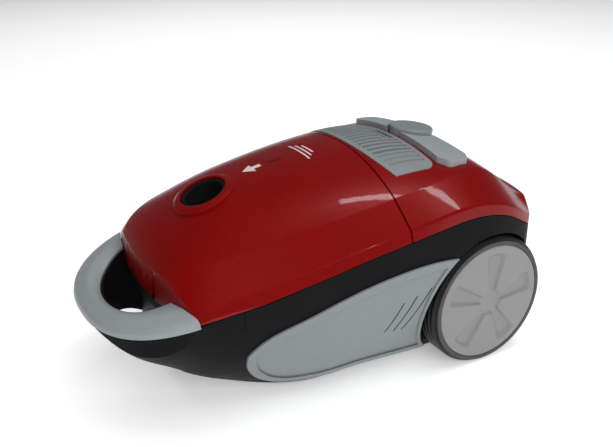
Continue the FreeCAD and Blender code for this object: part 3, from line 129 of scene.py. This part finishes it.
# ---- materials ----
class Look:
    """A node material built around one Principled shader."""

    def __init__(self, name, colour, rough=0.5, metallic=0.0, **sockets):
        self.material = bpy.data.materials.new(name)
        self.material.use_nodes = True
        self.nodes = self.material.node_tree.nodes
        self.links = self.material.node_tree.links
        self.shader = self.nodes["Principled BSDF"]
        self.colour = colour
        self.set("Base Color", (*colour, 1.0))
        self.set("Roughness", rough)
        self.set("Metallic", metallic)
        for key, value in sockets.items():
            self.set(key.replace("_", " "), value)
        self.place = self.nodes.new("ShaderNodeTexCoord").outputs["Object"]
        self.height = None

    def set(self, socket, value):
        self.shader.inputs[socket].default_value = value

    def link(self, a, b):
        self.links.new(a, b)

    def stretched(self, scale, turn=(0, 0, 0)):
        node = self.nodes.new("ShaderNodeMapping")
        node.inputs["Scale"].default_value = scale
        node.inputs["Rotation"].default_value = turn
        self.link(self.place, node.inputs["Vector"])
        return node.outputs["Vector"]

    def noise(self, scale, detail=3.0, rough=0.55, vector=None):
        node = self.nodes.new("ShaderNodeTexNoise")
        node.inputs["Scale"].default_value = scale
        node.inputs["Detail"].default_value = detail
        node.inputs["Roughness"].default_value = rough
        self.link(vector or self.place, node.inputs["Vector"])
        return node.outputs["Fac"]

    def cells(self, scale, output="Distance", vector=None):
        node = self.nodes.new("ShaderNodeTexVoronoi")
        node.inputs["Scale"].default_value = scale
        self.link(vector or self.place, node.inputs["Vector"])
        return node.outputs[output]

    def waves(self, scale, distortion=0.0, direction="X", profile="SIN", vector=None):
        node = self.nodes.new("ShaderNodeTexWave")
        node.bands_direction = direction
        node.wave_profile = profile
        node.inputs["Scale"].default_value = scale
        node.inputs["Distortion"].default_value = distortion
        self.link(vector or self.place, node.inputs["Vector"])
        return node.outputs["Fac"]

    def ramp(self, value, low, high, out_low=0.0, out_high=1.0):
        node = self.nodes.new("ShaderNodeMapRange")
        node.inputs["From Min"].default_value = low
        node.inputs["From Max"].default_value = high
        node.inputs["To Min"].default_value = out_low
        node.inputs["To Max"].default_value = out_high
        self.link(value, node.inputs["Value"])
        return node.outputs["Result"]

    def math(self, operation, a, b):
        node = self.nodes.new("ShaderNodeMath")
        node.operation = operation
        for slot, value in enumerate((a, b)):
            if isinstance(value, (int, float)):
                node.inputs[slot].default_value = value
            else:
                self.link(value, node.inputs[slot])
        return node.outputs["Value"]

    def tint(self, mask, colour):
        """Mix towards another colour where mask is high."""
        node = self.nodes.new("ShaderNodeMix")
        node.data_type = "RGBA"
        base = self.shader.inputs["Base Color"]
        if base.is_linked:
            self.link(base.links[0].from_socket, node.inputs["A"])
        else:
            node.inputs["A"].default_value = base.default_value[:]
        node.inputs["B"].default_value = (*colour, 1.0)
        self.link(mask, node.inputs["Factor"])
        self.link(node.outputs["Result"], base)

    def rough(self, value):
        self.link(value, self.shader.inputs["Roughness"])

    def bump(self, height, distance, strength=1.0):
        node = self.nodes.new("ShaderNodeBump")
        node.inputs["Strength"].default_value = strength
        node.inputs["Distance"].default_value = distance
        self.link(height, node.inputs["Height"])
        if self.height is not None:
            self.link(self.height, node.inputs["Normal"])
        self.height = node.outputs["Normal"]
        self.link(self.height, self.shader.inputs["Normal"])

    def soft_edges(self, radius):
        """Rounds the look of sharp moulded edges."""
        node = self.nodes.new("ShaderNodeBevel")
        node.samples = 4
        node.inputs["Radius"].default_value = radius
        self.height = node.outputs["Normal"]
        self.link(self.height, self.shader.inputs["Normal"])

    def worn_edges(self, radius, colour, strength):
        """Lighter rubbed colour where the surface turns sharply."""
        bevel = self.nodes.new("ShaderNodeBevel")
        bevel.samples = 4
        bevel.inputs["Radius"].default_value = radius
        geometry = self.nodes.new("ShaderNodeNewGeometry")
        dot = self.nodes.new("ShaderNodeVectorMath")
        dot.operation = "DOT_PRODUCT"
        self.link(bevel.outputs["Normal"], dot.inputs[0])
        self.link(geometry.outputs["Normal"], dot.inputs[1])
        edge = self.ramp(dot.outputs["Value"], 0.995, 0.9)
        patchy = self.ramp(self.noise(260.0, 4.0), 0.42, 0.62, 0.0, strength)
        self.tint(self.math("MULTIPLY", edge, patchy), colour)


def scaled(colour, factor):
    return tuple(min(1.0, c * factor) for c in colour)


def moulded(name, colour, rough=0.45, grain=900.0, depth=0.00002, variation=0.12, wear=0.0, edge=0.0004,
            **more):
    """Moulded plastic: fine spark-eroded grain, faint flow marks and scuffs."""
    look = Look(name, colour, rough, **more)
    if edge:
        look.soft_edges(edge)
    look.tint(look.ramp(look.noise(14.0, 4.0), 0.35, 0.7, 0.0, 1.0), scaled(colour, 1.0 + variation))
    look.tint(look.ramp(look.noise(700.0, 2.0), 0.5, 0.75, 0.0, 0.5), scaled(colour, 1.0 - variation))
    scuff = look.noise(90.0, 5.0, 0.7, look.stretched((1.0, 0.25, 1.0)))
    look.rough(look.ramp(scuff, 0.3, 0.75, rough - 0.06, rough + 0.1))
    look.bump(look.noise(grain, 3.0), depth, 0.6)
    if wear:
        look.worn_edges(0.0007, scaled(colour, 1.6), wear)
    return look.material


def paint_red():
    colour = (0.168, 0.0003, 0.0004)
    look = Look("shell_red", colour, 0.3, 0.12, Specular_IOR_Level=0.15, Coat_Weight=0.2, Coat_Roughness=0.05)
    look.soft_edges(0.0006)
    flake = look.cells(2600.0, "Color")
    split = look.nodes.new("ShaderNodeSeparateColor")
    look.link(flake, split.inputs["Color"])
    look.tint(look.ramp(split.outputs["Red"], 0.72, 1.0, 0.0, 0.55), (0.3, 0.002, 0.0025))
    look.tint(look.ramp(split.outputs["Green"], 0.7, 1.0, 0.0, 0.6), (0.1, 0.0006, 0.001))
    look.tint(look.ramp(look.noise(9.0, 3.0), 0.4, 0.7, 0.0, 0.35), (0.145, 0.0004, 0.0006))
    look.rough(look.ramp(split.outputs["Blue"], 0.0, 1.0, 0.25, 0.42))
    look.bump(look.noise(55.0, 2.0), 0.00006, 0.35)
    look.bump(split.outputs["Green"], 0.00001, 0.5)
    scratches = look.noise(120.0, 6.0, 0.8, look.stretched((1.0, 0.08, 1.0), (0, 0, 0.6)))
    look.link(look.ramp(scratches, 0.6, 0.8, 0.045, 0.11), look.shader.inputs["Coat Roughness"])
    return look.material


def metal(name, colour, rough, brushed=(1.0, 1.0, 0.05), scale=900.0):
    look = Look(name, colour, rough, 1.0)
    streak = look.noise(scale, 4.0, 0.65, look.stretched(brushed))
    look.rough(look.ramp(streak, 0.3, 0.7, rough - 0.08, rough + 0.12))
    look.tint(look.ramp(streak, 0.45, 0.7, 0.0, 0.5), scaled(colour, 0.8))
    look.tint(look.ramp(look.noise(35.0, 4.0), 0.55, 0.75, 0.0, 0.35), scaled(colour, 0.6))
    look.bump(streak, 0.00001, 0.4)
    return look.material


def rubber(name, colour, rough=0.62):
    look = Look(name, colour, rough, Specular_IOR_Level=0.4)
    look.tint(look.ramp(look.noise(60.0, 5.0), 0.45, 0.75, 0.0, 0.6), scaled(colour, 1.9))
    look.rough(look.ramp(look.noise(200.0, 4.0), 0.3, 0.7, rough - 0.1, rough + 0.12))
    look.bump(look.noise(1400.0, 3.0), 0.00003, 0.5)
    return look.material


def tyre_look():
    look = Look("tyre_rubber", (0.0085, 0.0085, 0.009), 0.36, Specular_IOR_Level=0.22)
    look.tint(look.ramp(look.noise(22.0, 5.0), 0.5, 0.8, 0.0, 0.5), (0.015, 0.0148, 0.0145))
    look.rough(look.ramp(look.noise(130.0, 5.0), 0.3, 0.75, 0.3, 0.52))
    look.bump(look.noise(1100.0, 3.0), 0.00002, 0.5)
    return look.material


def foam_look():
    look = Look("foam", (0.035, 0.035, 0.038), 0.95)
    pores = look.cells(700.0)
    look.tint(look.ramp(pores, 0.25, 0.6, 0.0, 0.8), (0.004, 0.004, 0.005))
    look.tint(look.ramp(look.noise(40.0, 4.0), 0.5, 0.7, 0.0, 0.4), (0.07, 0.068, 0.065))
    look.bump(pores, 0.0006, 0.8)
    return look.material


def fibre_look(name, colour, dust):
    """Non-woven fleece or soft paper: short crossed fibres and pressed dimples."""
    look = Look(name, colour, 0.9, Sheen_Weight=0.25, Sheen_Roughness=0.5)
    along = look.noise(420.0, 5.0, 0.7, look.stretched((1.0, 0.12, 1.0), (0, 0, 0.5)))
    across = look.noise(420.0, 5.0, 0.7, look.stretched((0.12, 1.0, 1.0), (0.3, 0, -0.4)))
    fibres = look.math("MAXIMUM", along, across)
    dimples = look.cells(330.0)
    look.tint(look.ramp(fibres, 0.5, 0.75, 0.0, 0.5), scaled(colour, 0.72))
    look.tint(look.ramp(look.noise(11.0, 4.0), 0.5, 0.75, 0.0, 0.45), dust)
    look.bump(fibres, 0.0002, 0.6)
    look.bump(dimples, 0.0002, 0.35)
    return look.material


def card_look():
    look = Look("card", (0.47, 0.31, 0.16), 0.85)
    grain = look.noise(500.0, 5.0, 0.7, look.stretched((1.0, 0.15, 1.0)))
    look.tint(look.ramp(grain, 0.4, 0.7, 0.0, 0.6), (0.33, 0.2, 0.1))
    look.tint(look.ramp(look.noise(1500.0, 1.0), 0.68, 0.8, 0.0, 0.7), (0.16, 0.09, 0.04))
    look.bump(grain, 0.00006, 0.6)
    return look.material


def laminate_look():
    look = Look("laminate", (0.12, 0.115, 0.11), 0.45, 0.8)
    sheets = look.waves(330.0, 0.0, "Y")
    look.tint(look.ramp(sheets, 0.2, 0.5, 0.8, 0.0), (0.03, 0.03, 0.03))
    look.tint(look.ramp(look.noise(60.0, 4.0), 0.52, 0.7, 0.0, 0.6), (0.3, 0.12, 0.05))
    look.bump(sheets, 0.0001, 0.6)
    return look.material


def board_look():
    look = Look("board_green", (0.015, 0.11, 0.035), 0.35)
    tracks = look.waves(75.0, 3.0, "X", "SAW")
    look.tint(look.ramp(tracks, 0.8, 0.86, 0.0, 0.7), (0.05, 0.22, 0.08))
    look.tint(look.ramp(look.cells(260.0), 0.12, 0.08, 0.0, 1.0), (0.6, 0.58, 0.5))
    look.bump(tracks, 0.00003, 0.5)
    return look.material


def window_look():
    look = Look("window_clear", (0.9, 0.93, 0.94), 0.06, Transmission_Weight=0.95, IOR=1.49)
    look.rough(look.ramp(look.noise(300.0, 5.0, 0.7), 0.4, 0.8, 0.03, 0.14))
    look.tint(look.ramp(look.noise(40.0, 3.0), 0.5, 0.8, 0.0, 0.4), (0.75, 0.8, 0.82))
    look.bump(look.noise(200.0, 2.0), 0.00001, 0.3)
    return look.material


def silver(name, colour, rough=0.4):
    """Satin metallic plastic: fine flake under a soft matt surface."""
    look = Look(name, colour, rough, 0.12, Specular_IOR_Level=0.25)
    look.soft_edges(0.0006)
    cell = look.cells(2900.0, "Color")
    split = look.nodes.new("ShaderNodeSeparateColor")
    look.link(cell, split.inputs["Color"])
    look.tint(look.ramp(split.outputs["Red"], 0.6, 1.0, 0.0, 0.5), scaled(colour, 1.35))
    look.tint(look.ramp(split.outputs["Green"], 0.65, 1.0, 0.0, 0.5), scaled(colour, 0.7))
    look.tint(look.ramp(look.noise(12.0, 4.0), 0.4, 0.7, 0.0, 0.5), scaled(colour, 0.92))
    look.rough(look.ramp(look.noise(150.0, 5.0, 0.7), 0.3, 0.75, rough - 0.06, rough + 0.08))
    look.bump(look.noise(1300.0, 2.0), 0.000015, 0.5)
    look.worn_edges(0.0006, scaled(colour, 1.3), 0.35)
    return look.material


LOOKS = {
    "shell_red": paint_red(),
    "hull_black": moulded("hull_black", (0.006, 0.006, 0.0061), 0.5, 750.0, 0.00003, 0.25, 0.3,
                           Specular_IOR_Level=0.05),
    "trim_silver": silver("trim_silver", (0.25, 0.272, 0.278)),
    "panel_silver": silver("panel_silver", (0.192, 0.212, 0.217)),
    "cap_silver": silver("cap_silver", (0.213, 0.214, 0.211), 0.42),
    "tyre_rubber": tyre_look(),
    "rim_plastic": moulded("rim_plastic", (0.03, 0.03, 0.032), 0.5, wear=0.4),
    "seal_rubber": rubber("seal_rubber", (0.016, 0.016, 0.017)),
    "inner_plastic": moulded("inner_plastic", (0.06, 0.062, 0.066), 0.48, wear=0.4),
    "window_clear": window_look(),
    "flag_red": moulded("flag_red", (0.55, 0.02, 0.015), 0.25),
    "steel": metal("steel", (0.56, 0.57, 0.58), 0.3),
    "spring_steel": metal("spring_steel", (0.42, 0.42, 0.43), 0.28, (1.0, 1.0, 1.0)),
    "carbon": moulded("carbon", (0.02, 0.02, 0.021), 0.6, 1800.0, 0.00004),
    "aluminium": metal("aluminium", (0.7, 0.71, 0.72), 0.34, (1.0, 1.0, 0.3)),
    "laminate": laminate_look(),
    "foam": foam_look(),
    "fleece": fibre_look("fleece", (0.72, 0.71, 0.67), (0.5, 0.47, 0.42)),
    "bag_paper": fibre_look("bag_paper", (0.7, 0.64, 0.5), (0.52, 0.46, 0.35)),
    "card": card_look(),
    "board_green": board_look(),
}


def floor_look():
    look = Look("pale_floor", (0.9, 0.9, 0.9), 0.7, Specular_IOR_Level=0.1, Emission_Color=(1, 1, 1, 1),
                Emission_Strength=0.3)
    look.tint(look.ramp(look.noise(0.8, 3.0), 0.35, 0.7, 0.0, 0.5), (0.87, 0.87, 0.872))
    look.rough(look.ramp(look.noise(30.0, 4.0), 0.3, 0.7, 0.65, 0.75))
    look.bump(look.noise(400.0, 2.0), 0.00005, 0.2)
    return look.material


DARKER_TRIM = ("side_panel_left", "side_panel_right", "exhaust_grille", "power_knob")


def paint_frame():
    looks = {part["node"]: part["material_slot"] for part in record["subparts"]}
    looks.update({name: "panel_silver" for name in DARKER_TRIM})
    for name, obj in frame["nodes"].items():
        obj.data.materials.clear()
        obj.data.materials.append(LOOKS[looks[name]])


# ---- shared mesh helpers ----
def new_piece(name, bm, look, body, smooth=True):
    """Finished object from a bmesh, with its material, riding on a CAD body."""
    bmesh.ops.recalc_face_normals(bm, faces=bm.faces[:])
    for face in bm.faces:
        face.smooth = smooth
    mesh = bpy.data.meshes.new(name)
    bm.to_mesh(mesh)
    bm.free()
    mesh.materials.append(LOOKS[look])
    piece = bpy.data.objects.new(name, mesh)
    scene.collection.objects.link(piece)
    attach(piece, body)
    return piece


def turned(bm, profile, centre, side, steps):
    """Closed (radius, x) profile turned about an axle through centre, along X."""
    rings = []
    for i in range(steps):
        angle = 2 * math.pi * i / steps
        ring = []
        for radius, x in profile:
            ring.append(bm.verts.new((
                side * x, centre[0] + radius * math.cos(angle), centre[1] + radius * math.sin(angle))))
        rings.append(ring)
    count = len(profile)
    for i in range(steps):
        here = rings[i]
        there = rings[(i + 1) % steps]
        for j in range(count):
            k = (j + 1) % count
            bm.faces.new((here[j], there[j], there[k], here[k]))
    return rings


def sheet_patch(bm, corners, height, thickness, steps_u=8, steps_v=4):
    """Thin curved tile that follows a surface; corners are (x, y) in order around it."""
    a, b, c, d = [Vector(p) for p in corners]
    layers = []
    for drop in (0.0, thickness):
        grid = []
        for i in range(steps_u + 1):
            u = i / steps_u
            row = []
            for j in range(steps_v + 1):
                v = j / steps_v
                spot = (a.lerp(b, u)).lerp(d.lerp(c, u), v)
                row.append(bm.verts.new((spot.x, spot.y, height(spot.x, spot.y) - drop)))
            grid.append(row)
        layers.append(grid)
    top, bottom = layers
    for i in range(steps_u):
        for j in range(steps_v):
            bm.faces.new((top[i][j], top[i + 1][j], top[i + 1][j + 1], top[i][j + 1]))
            bm.faces.new((bottom[i][j], bottom[i][j + 1], bottom[i + 1][j + 1], bottom[i + 1][j]))
    edge = [(i, 0) for i in range(steps_u)] + [(steps_u, j) for j in range(steps_v)]
    edge += [(i, steps_v) for i in range(steps_u, 0, -1)] + [(0, j) for j in range(steps_v, 0, -1)]
    for k, (i, j) in enumerate(edge):
        m, n = edge[(k + 1) % len(edge)]
        bm.faces.new((top[i][j], bottom[i][j], bottom[m][n], top[m][n]))


# ---- printed marks on the lid ----
PRINT_LIFT = 0.00012
PRINT_THICKNESS = 0.00022
RAY_START = 0.5                 # above the object
ARROW_Y = -0.052                # where the arrow's head meets its shaft
ARROW_HEAD_HALF = 0.0085
ARROW_HEAD_LENGTH = 0.0105
ARROW_TIP_HALF = 0.0003
ARROW_SHAFT_HALF = 0.0028
ARROW_SHAFT_LENGTH = 0.0085
LINE_COUNT = 3
LINE_HALF = 0.021               # longest line, nearest the inlet
LINE_SHORTER = 0.005
LINE_Y = -0.0015
LINE_STEP = 0.0048
LINE_WIDTH = 0.0018


def surface_height(node):
    """Height of a CAD node's top surface at (x, y)."""
    obj = frame["nodes"][node]
    corners = [v.co[:] for v in obj.data.vertices]
    faces = [p.vertices[:] for p in obj.data.polygons]
    tree = BVHTree.FromPolygons(corners, faces)

    def height(x, y):
        hit = tree.ray_cast(Vector((x, y, RAY_START)), Vector((0, 0, -1)))[0]
        return hit.z + PRINT_LIFT

    return height


def box_corners(x0, y0, x1, y1):
    return [(x0, y0), (x1, y0), (x1, y1), (x0, y1)]


def lid_marks():
    """Plain marks of the builder's own: an arrow at the hose inlet and three level lines; then a darker red
    strip of painted shade.
    """
    height = surface_height("dust_lid")
    bm = bmesh.new()
    tip_y = ARROW_Y - ARROW_HEAD_LENGTH
    wide = [
        [(-ARROW_HEAD_HALF, ARROW_Y), (ARROW_HEAD_HALF, ARROW_Y),
         (ARROW_TIP_HALF, tip_y), (-ARROW_TIP_HALF, tip_y)],
        box_corners(-ARROW_SHAFT_HALF, ARROW_Y, ARROW_SHAFT_HALF, ARROW_Y + ARROW_SHAFT_LENGTH),
    ]
    for i in range(LINE_COUNT):
        half = LINE_HALF - i * LINE_SHORTER
        y = LINE_Y + i * LINE_STEP
        wide.append(box_corners(-half, y, half, y + LINE_WIDTH))
    for corners in wide:
        sheet_patch(bm, corners, height, PRINT_THICKNESS, 6, 3)
    new_piece("lid_print", bm, "print_ink", "lid", smooth=False)
    # Painted shade: a flat darker red strip on the lid, standing in for the shade of a recess.
    bm = bmesh.new()
    sheet_patch(bm, box_corners(-0.0006, -0.0355, 0.0036, -0.0215), height, PRINT_THICKNESS, 3, 8)
    new_piece("lid_painted_shade", bm, "painted_shade_red", "lid", smooth=False)


# ---- tyres ----
TYRE_STEPS = 168
TYRE_WALL = 0.0055
SHOULDER_X = 0.0032
SHOULDER_R = 0.0030
SHOULDER_STEPS = 6
GROOVES = 3
GROOVE_START = 0.007            # from the tyre's inner side
GROOVE_PITCH = 0.006
GROOVE_DEPTH = 0.0009


def tyre_profile(inner, outer, x0, x1):
    """Section of the tyre: rounded shoulders, a bead step and three tread grooves."""
    spots = [(inner, x0)]
    for k in range(SHOULDER_STEPS + 1):
        angle = math.radians(90 * k / SHOULDER_STEPS)
        radius = outer - SHOULDER_R + SHOULDER_R * math.sin(angle)
        spots.append((radius, x0 + SHOULDER_X - SHOULDER_X * math.cos(angle)))
    for k in range(GROOVES):
        x = x0 + GROOVE_START + k * GROOVE_PITCH
        spots += [
            (outer, x - 0.0002), (outer - GROOVE_DEPTH, x + 0.0002),
            (outer - GROOVE_DEPTH, x + 0.001), (outer, x + 0.0014)]
    for k in range(SHOULDER_STEPS + 1):
        angle = math.radians(90 * (1 - k / SHOULDER_STEPS))
        radius = outer - SHOULDER_R + SHOULDER_R * math.sin(angle)
        spots.append((radius, x1 - SHOULDER_X + SHOULDER_X * math.cos(angle)))
    spots += [(inner + 0.0016, x1), (inner + 0.0012, x1 - 0.0005), (inner, x1 - 0.0005)]
    return spots


def add_tyre(side_name, side):
    node = "tyre_" + side_name
    low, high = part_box(node)
    centre = ((low[1] + high[1]) / 2, (low[2] + high[2]) / 2)
    outer = (high[1] - low[1]) / 2
    reach = sorted((abs(low[0]), abs(high[0])))
    inner = outer - TYRE_WALL
    bm = bmesh.new()
    turned(bm, tyre_profile(inner, outer, reach[0], reach[1]), centre, side, TYRE_STEPS)
    piece = new_piece("tread_" + side_name, bm, "tyre_rubber", "wheel_" + side_name)
    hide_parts(node)


# ---- hub caps ----
CAP_SPOKES = 5
CAP_TURN = math.radians(5)
CAP_STEPS = 360
CAP_THICKNESS = 0.0046
CAP_DOME = 0.0013
CAP_EDGE = 0.0013
CAP_BORE = 0.0015
CAP_RINGS = 58
CAP_EDGE_STEPS = 5
HUB_RADIUS = 0.0118             # petals begin outside it
HUB_BANK = 0.0026
CHANNEL_END = 0.0495
CHANNEL_END_BANK = 0.0045


def eased(value):
    value = min(max(value, 0.0), 1.0)
    return value * value * (3 - 2 * value)


def channel_depth(radius, angle):
    """Depth below the cap's dome: five flared channels run out from a sunken hub."""
    step = 2 * math.pi / CAP_SPOKES
    off = (angle + step / 2) % step - step / 2
    along = max(radius * math.cos(off) - 0.012, 0.0)
    across = abs(radius * math.sin(off))
    floor_half = 0.0026 + 0.11 * along
    bank = 0.0016 + 0.13 * along
    petal = eased((across - floor_half) / bank) * eased((radius - HUB_RADIUS) / HUB_BANK)
    depth = 0.0023 + 0.026 * along
    return depth * (1 - petal) * (1 - eased((radius - CHANNEL_END) / CHANNEL_END_BANK))


def add_hub_cap(side_name, side):
    node = "hub_cap_" + side_name
    low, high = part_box(node)
    rim = (high[1] - low[1]) / 2
    centre = ((low[1] + high[1]) / 2, (low[2] + high[2]) / 2)
    face_x = max(abs(low[0]), abs(high[0]))
    radii = [CAP_BORE + (rim - CAP_EDGE - CAP_BORE) * i / CAP_RINGS for i in range(CAP_RINGS + 1)]
    bm = bmesh.new()
    rings = []
    for i in range(CAP_STEPS):
        angle = 2 * math.pi * i / CAP_STEPS
        around = (-math.sin(angle - CAP_TURN), math.cos(angle - CAP_TURN))
        ring = []
        for radius in radii:
            x = face_x - CAP_DOME * (radius / rim) ** 2 - channel_depth(radius, angle)
            ring.append((radius, x))
        for k in range(1, CAP_EDGE_STEPS + 1):
            turn = math.radians(90 * k / CAP_EDGE_STEPS)
            radius = rim - CAP_EDGE * (1 - math.sin(turn))
            ring.append((radius, face_x - CAP_DOME - CAP_EDGE * (1 - math.cos(turn))))
        ring += [(rim, face_x - CAP_THICKNESS), (CAP_BORE, face_x - CAP_THICKNESS)]
        rings.append([
            bm.verts.new((side * x, centre[0] + r * around[0], centre[1] + r * around[1])) for r, x in ring])
    count = len(rings[0])
    for i in range(CAP_STEPS):
        here = rings[i]
        there = rings[(i + 1) % CAP_STEPS]
        for j in range(count - 1):
            bm.faces.new((here[j], there[j], there[j + 1], here[j + 1]))
    bm.faces.new([ring[0] for ring in rings])
    bm.faces.new([ring[-1] for ring in rings])
    piece = new_piece("wheel_cap_" + side_name, bm, "cap_silver", "wheel_" + side_name)
    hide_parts(node)


# ---- soft pieces ----
BAG_VOXEL = 0.005
BAG_PRESSURE = 4.0
BAG_FRAMES = 20
BAG_REACH = 0.007               # furthest that the cloth may move a point
BAG_INSET = 0.004               # the bag starts this much smaller, and swells
BAG_MARGIN = 0.0002             # inside the CAD bag's box
FOLD_DEPTH = 0.0006
GUSSET_DEPTH = 0.0035
GUSSET_WIDTH = 0.006


def node_copy(node, name, look, inset=0.0):
    """New object with its own copy of a CAD node's mesh, to remesh and puff up."""
    mesh = frame["nodes"][node].data.copy()
    mesh.name = name
    mesh.materials.clear()
    mesh.materials.append(LOOKS[look])
    piece = bpy.data.objects.new(name, mesh)
    scene.collection.objects.link(piece)
    if inset:
        mesh.update()
        moved = [v.co - v.normal * inset for v in mesh.vertices]
        for vertex, spot in zip(mesh.vertices, moved):
            vertex.co = spot
    return piece


def apply_modifiers(piece):
    graph = bpy.context.evaluated_depsgraph_get()
    mesh = bpy.data.meshes.new_from_object(piece.evaluated_get(graph))
    old = piece.data
    piece.modifiers.clear()
    piece.data = mesh
    mesh.name = piece.name
    bpy.data.meshes.remove(old)


def remeshed(piece, voxel):
    step = piece.modifiers.new("remesh", "REMESH")
    step.mode = "VOXEL"
    step.voxel_size = voxel
    apply_modifiers(piece)


def puffed(piece, pressure, reach):
    """Cloth pressure swells the piece; no point moves further than reach."""
    rest = [v.co.copy() for v in piece.data.vertices]
    cloth = piece.modifiers.new("cloth", "CLOTH")
    cloth.settings.use_pressure = True
    cloth.settings.uniform_pressure_force = pressure
    cloth.settings.quality = 4
    cloth.settings.mass = 0.25
    cloth.settings.effector_weights.gravity = 0.0
    cloth.settings.shrink_min = -0.03
    cloth.point_cache.frame_start = 1
    cloth.point_cache.frame_end = BAG_FRAMES
    for number in range(1, BAG_FRAMES + 1):
        scene.frame_set(number)
    apply_modifiers(piece)
    scene.frame_set(1)
    for vertex, start in zip(piece.data.vertices, rest):
        move = vertex.co - start
        if move.length > reach:
            vertex.co = start + move * (reach / move.length)


def subdivided(piece, levels=1):
    step = piece.modifiers.new("smooth", "SUBSURF")
    step.levels = levels
    step.render_levels = levels
    apply_modifiers(piece)
    for face in piece.data.polygons:
        face.use_smooth = True


def shaped(piece, move):
    """Moves each point of the piece by move(point)."""
    for vertex in piece.data.vertices:
        vertex.co += move(vertex.co.copy(), vertex.normal.copy())


def add_dust_bag():
    piece = node_copy("dust_bag", "bag_fleece", "bag_paper", BAG_INSET)
    remeshed(piece, BAG_VOXEL)
    puffed(piece, BAG_PRESSURE, BAG_REACH)
    subdivided(piece)
    low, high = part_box("dust_bag")
    middle = (low[2] + high[2]) / 2

    def crease(point, normal):
        gusset = math.exp(-((point.z - middle) / GUSSET_WIDTH) ** 2) * (abs(normal.x) + abs(normal.y))
        across = math.sin(point.x * 210 + 3.0 * math.sin(point.y * 60))
        along = math.sin(point.y * 170 + point.z * 90)
        return normal * (FOLD_DEPTH * across * along - GUSSET_DEPTH * gusset)

    shaped(piece, crease)
    for axis in range(3):
        for vertex in piece.data.vertices:
            vertex.co[axis] = min(max(vertex.co[axis], low[axis] + BAG_MARGIN), high[axis] - BAG_MARGIN)
    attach(piece, "chassis")
    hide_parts("dust_bag")


def add_pad(node, name, look, voxel, ripple):
    """Filter pad with the slightly uneven face of cut foam or fleece."""
    piece = node_copy(node, name, look)
    remeshed(piece, voxel)

    def uneven(point, normal):
        wave = math.sin(point.x * 310) * math.sin(point.z * 290 + point.y * 120)
        return normal * (ripple * (wave - 1.0))

    shaped(piece, uneven)
    for face in piece.data.polygons:
        face.use_smooth = True
    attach(piece, "chassis")
    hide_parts(node)


def print_look():
    look = Look("print_ink", (0.62, 0.5, 0.5), 0.45, 0.1)
    look.tint(look.ramp(look.noise(900.0, 3.0), 0.5, 0.75, 0.0, 0.5), (0.45, 0.3, 0.3))
    look.rough(look.ramp(look.noise(400.0, 3.0), 0.3, 0.7, 0.38, 0.55))
    look.bump(look.noise(1600.0, 2.0), 0.00001, 0.4)
    return look.material


def painted_shade_look():
    # Darker red used as painted shade on the lid, for the strip laid over it.
    look = Look("painted_shade_red", (0.07, 0.002, 0.004), 0.35, 0.2)
    look.tint(look.ramp(look.noise(600.0, 3.0), 0.45, 0.7, 0.0, 0.5), (0.04, 0.001, 0.002))
    look.rough(look.ramp(look.noise(300.0, 3.0), 0.3, 0.7, 0.28, 0.45))
    look.bump(look.noise(1200.0, 2.0), 0.00001, 0.4)
    return look.material


LOOKS["print_ink"] = print_look()
# The darker red of the lid's painted shade strip.
LOOKS["painted_shade_red"] = painted_shade_look()

floor = add_floor()
floor.data.materials.append(floor_look())
add_camera()
add_lights()
paint_frame()
lid_marks()
add_tyre("left", 1)
add_tyre("right", -1)
add_hub_cap("left", 1)
add_hub_cap("right", -1)
add_dust_bag()
add_pad("pre_motor_filter", "foam_pad", "foam", 0.002, 0.0003)
add_pad("exhaust_filter", "fleece_pad", "fleece", 0.0016, 0.0002)
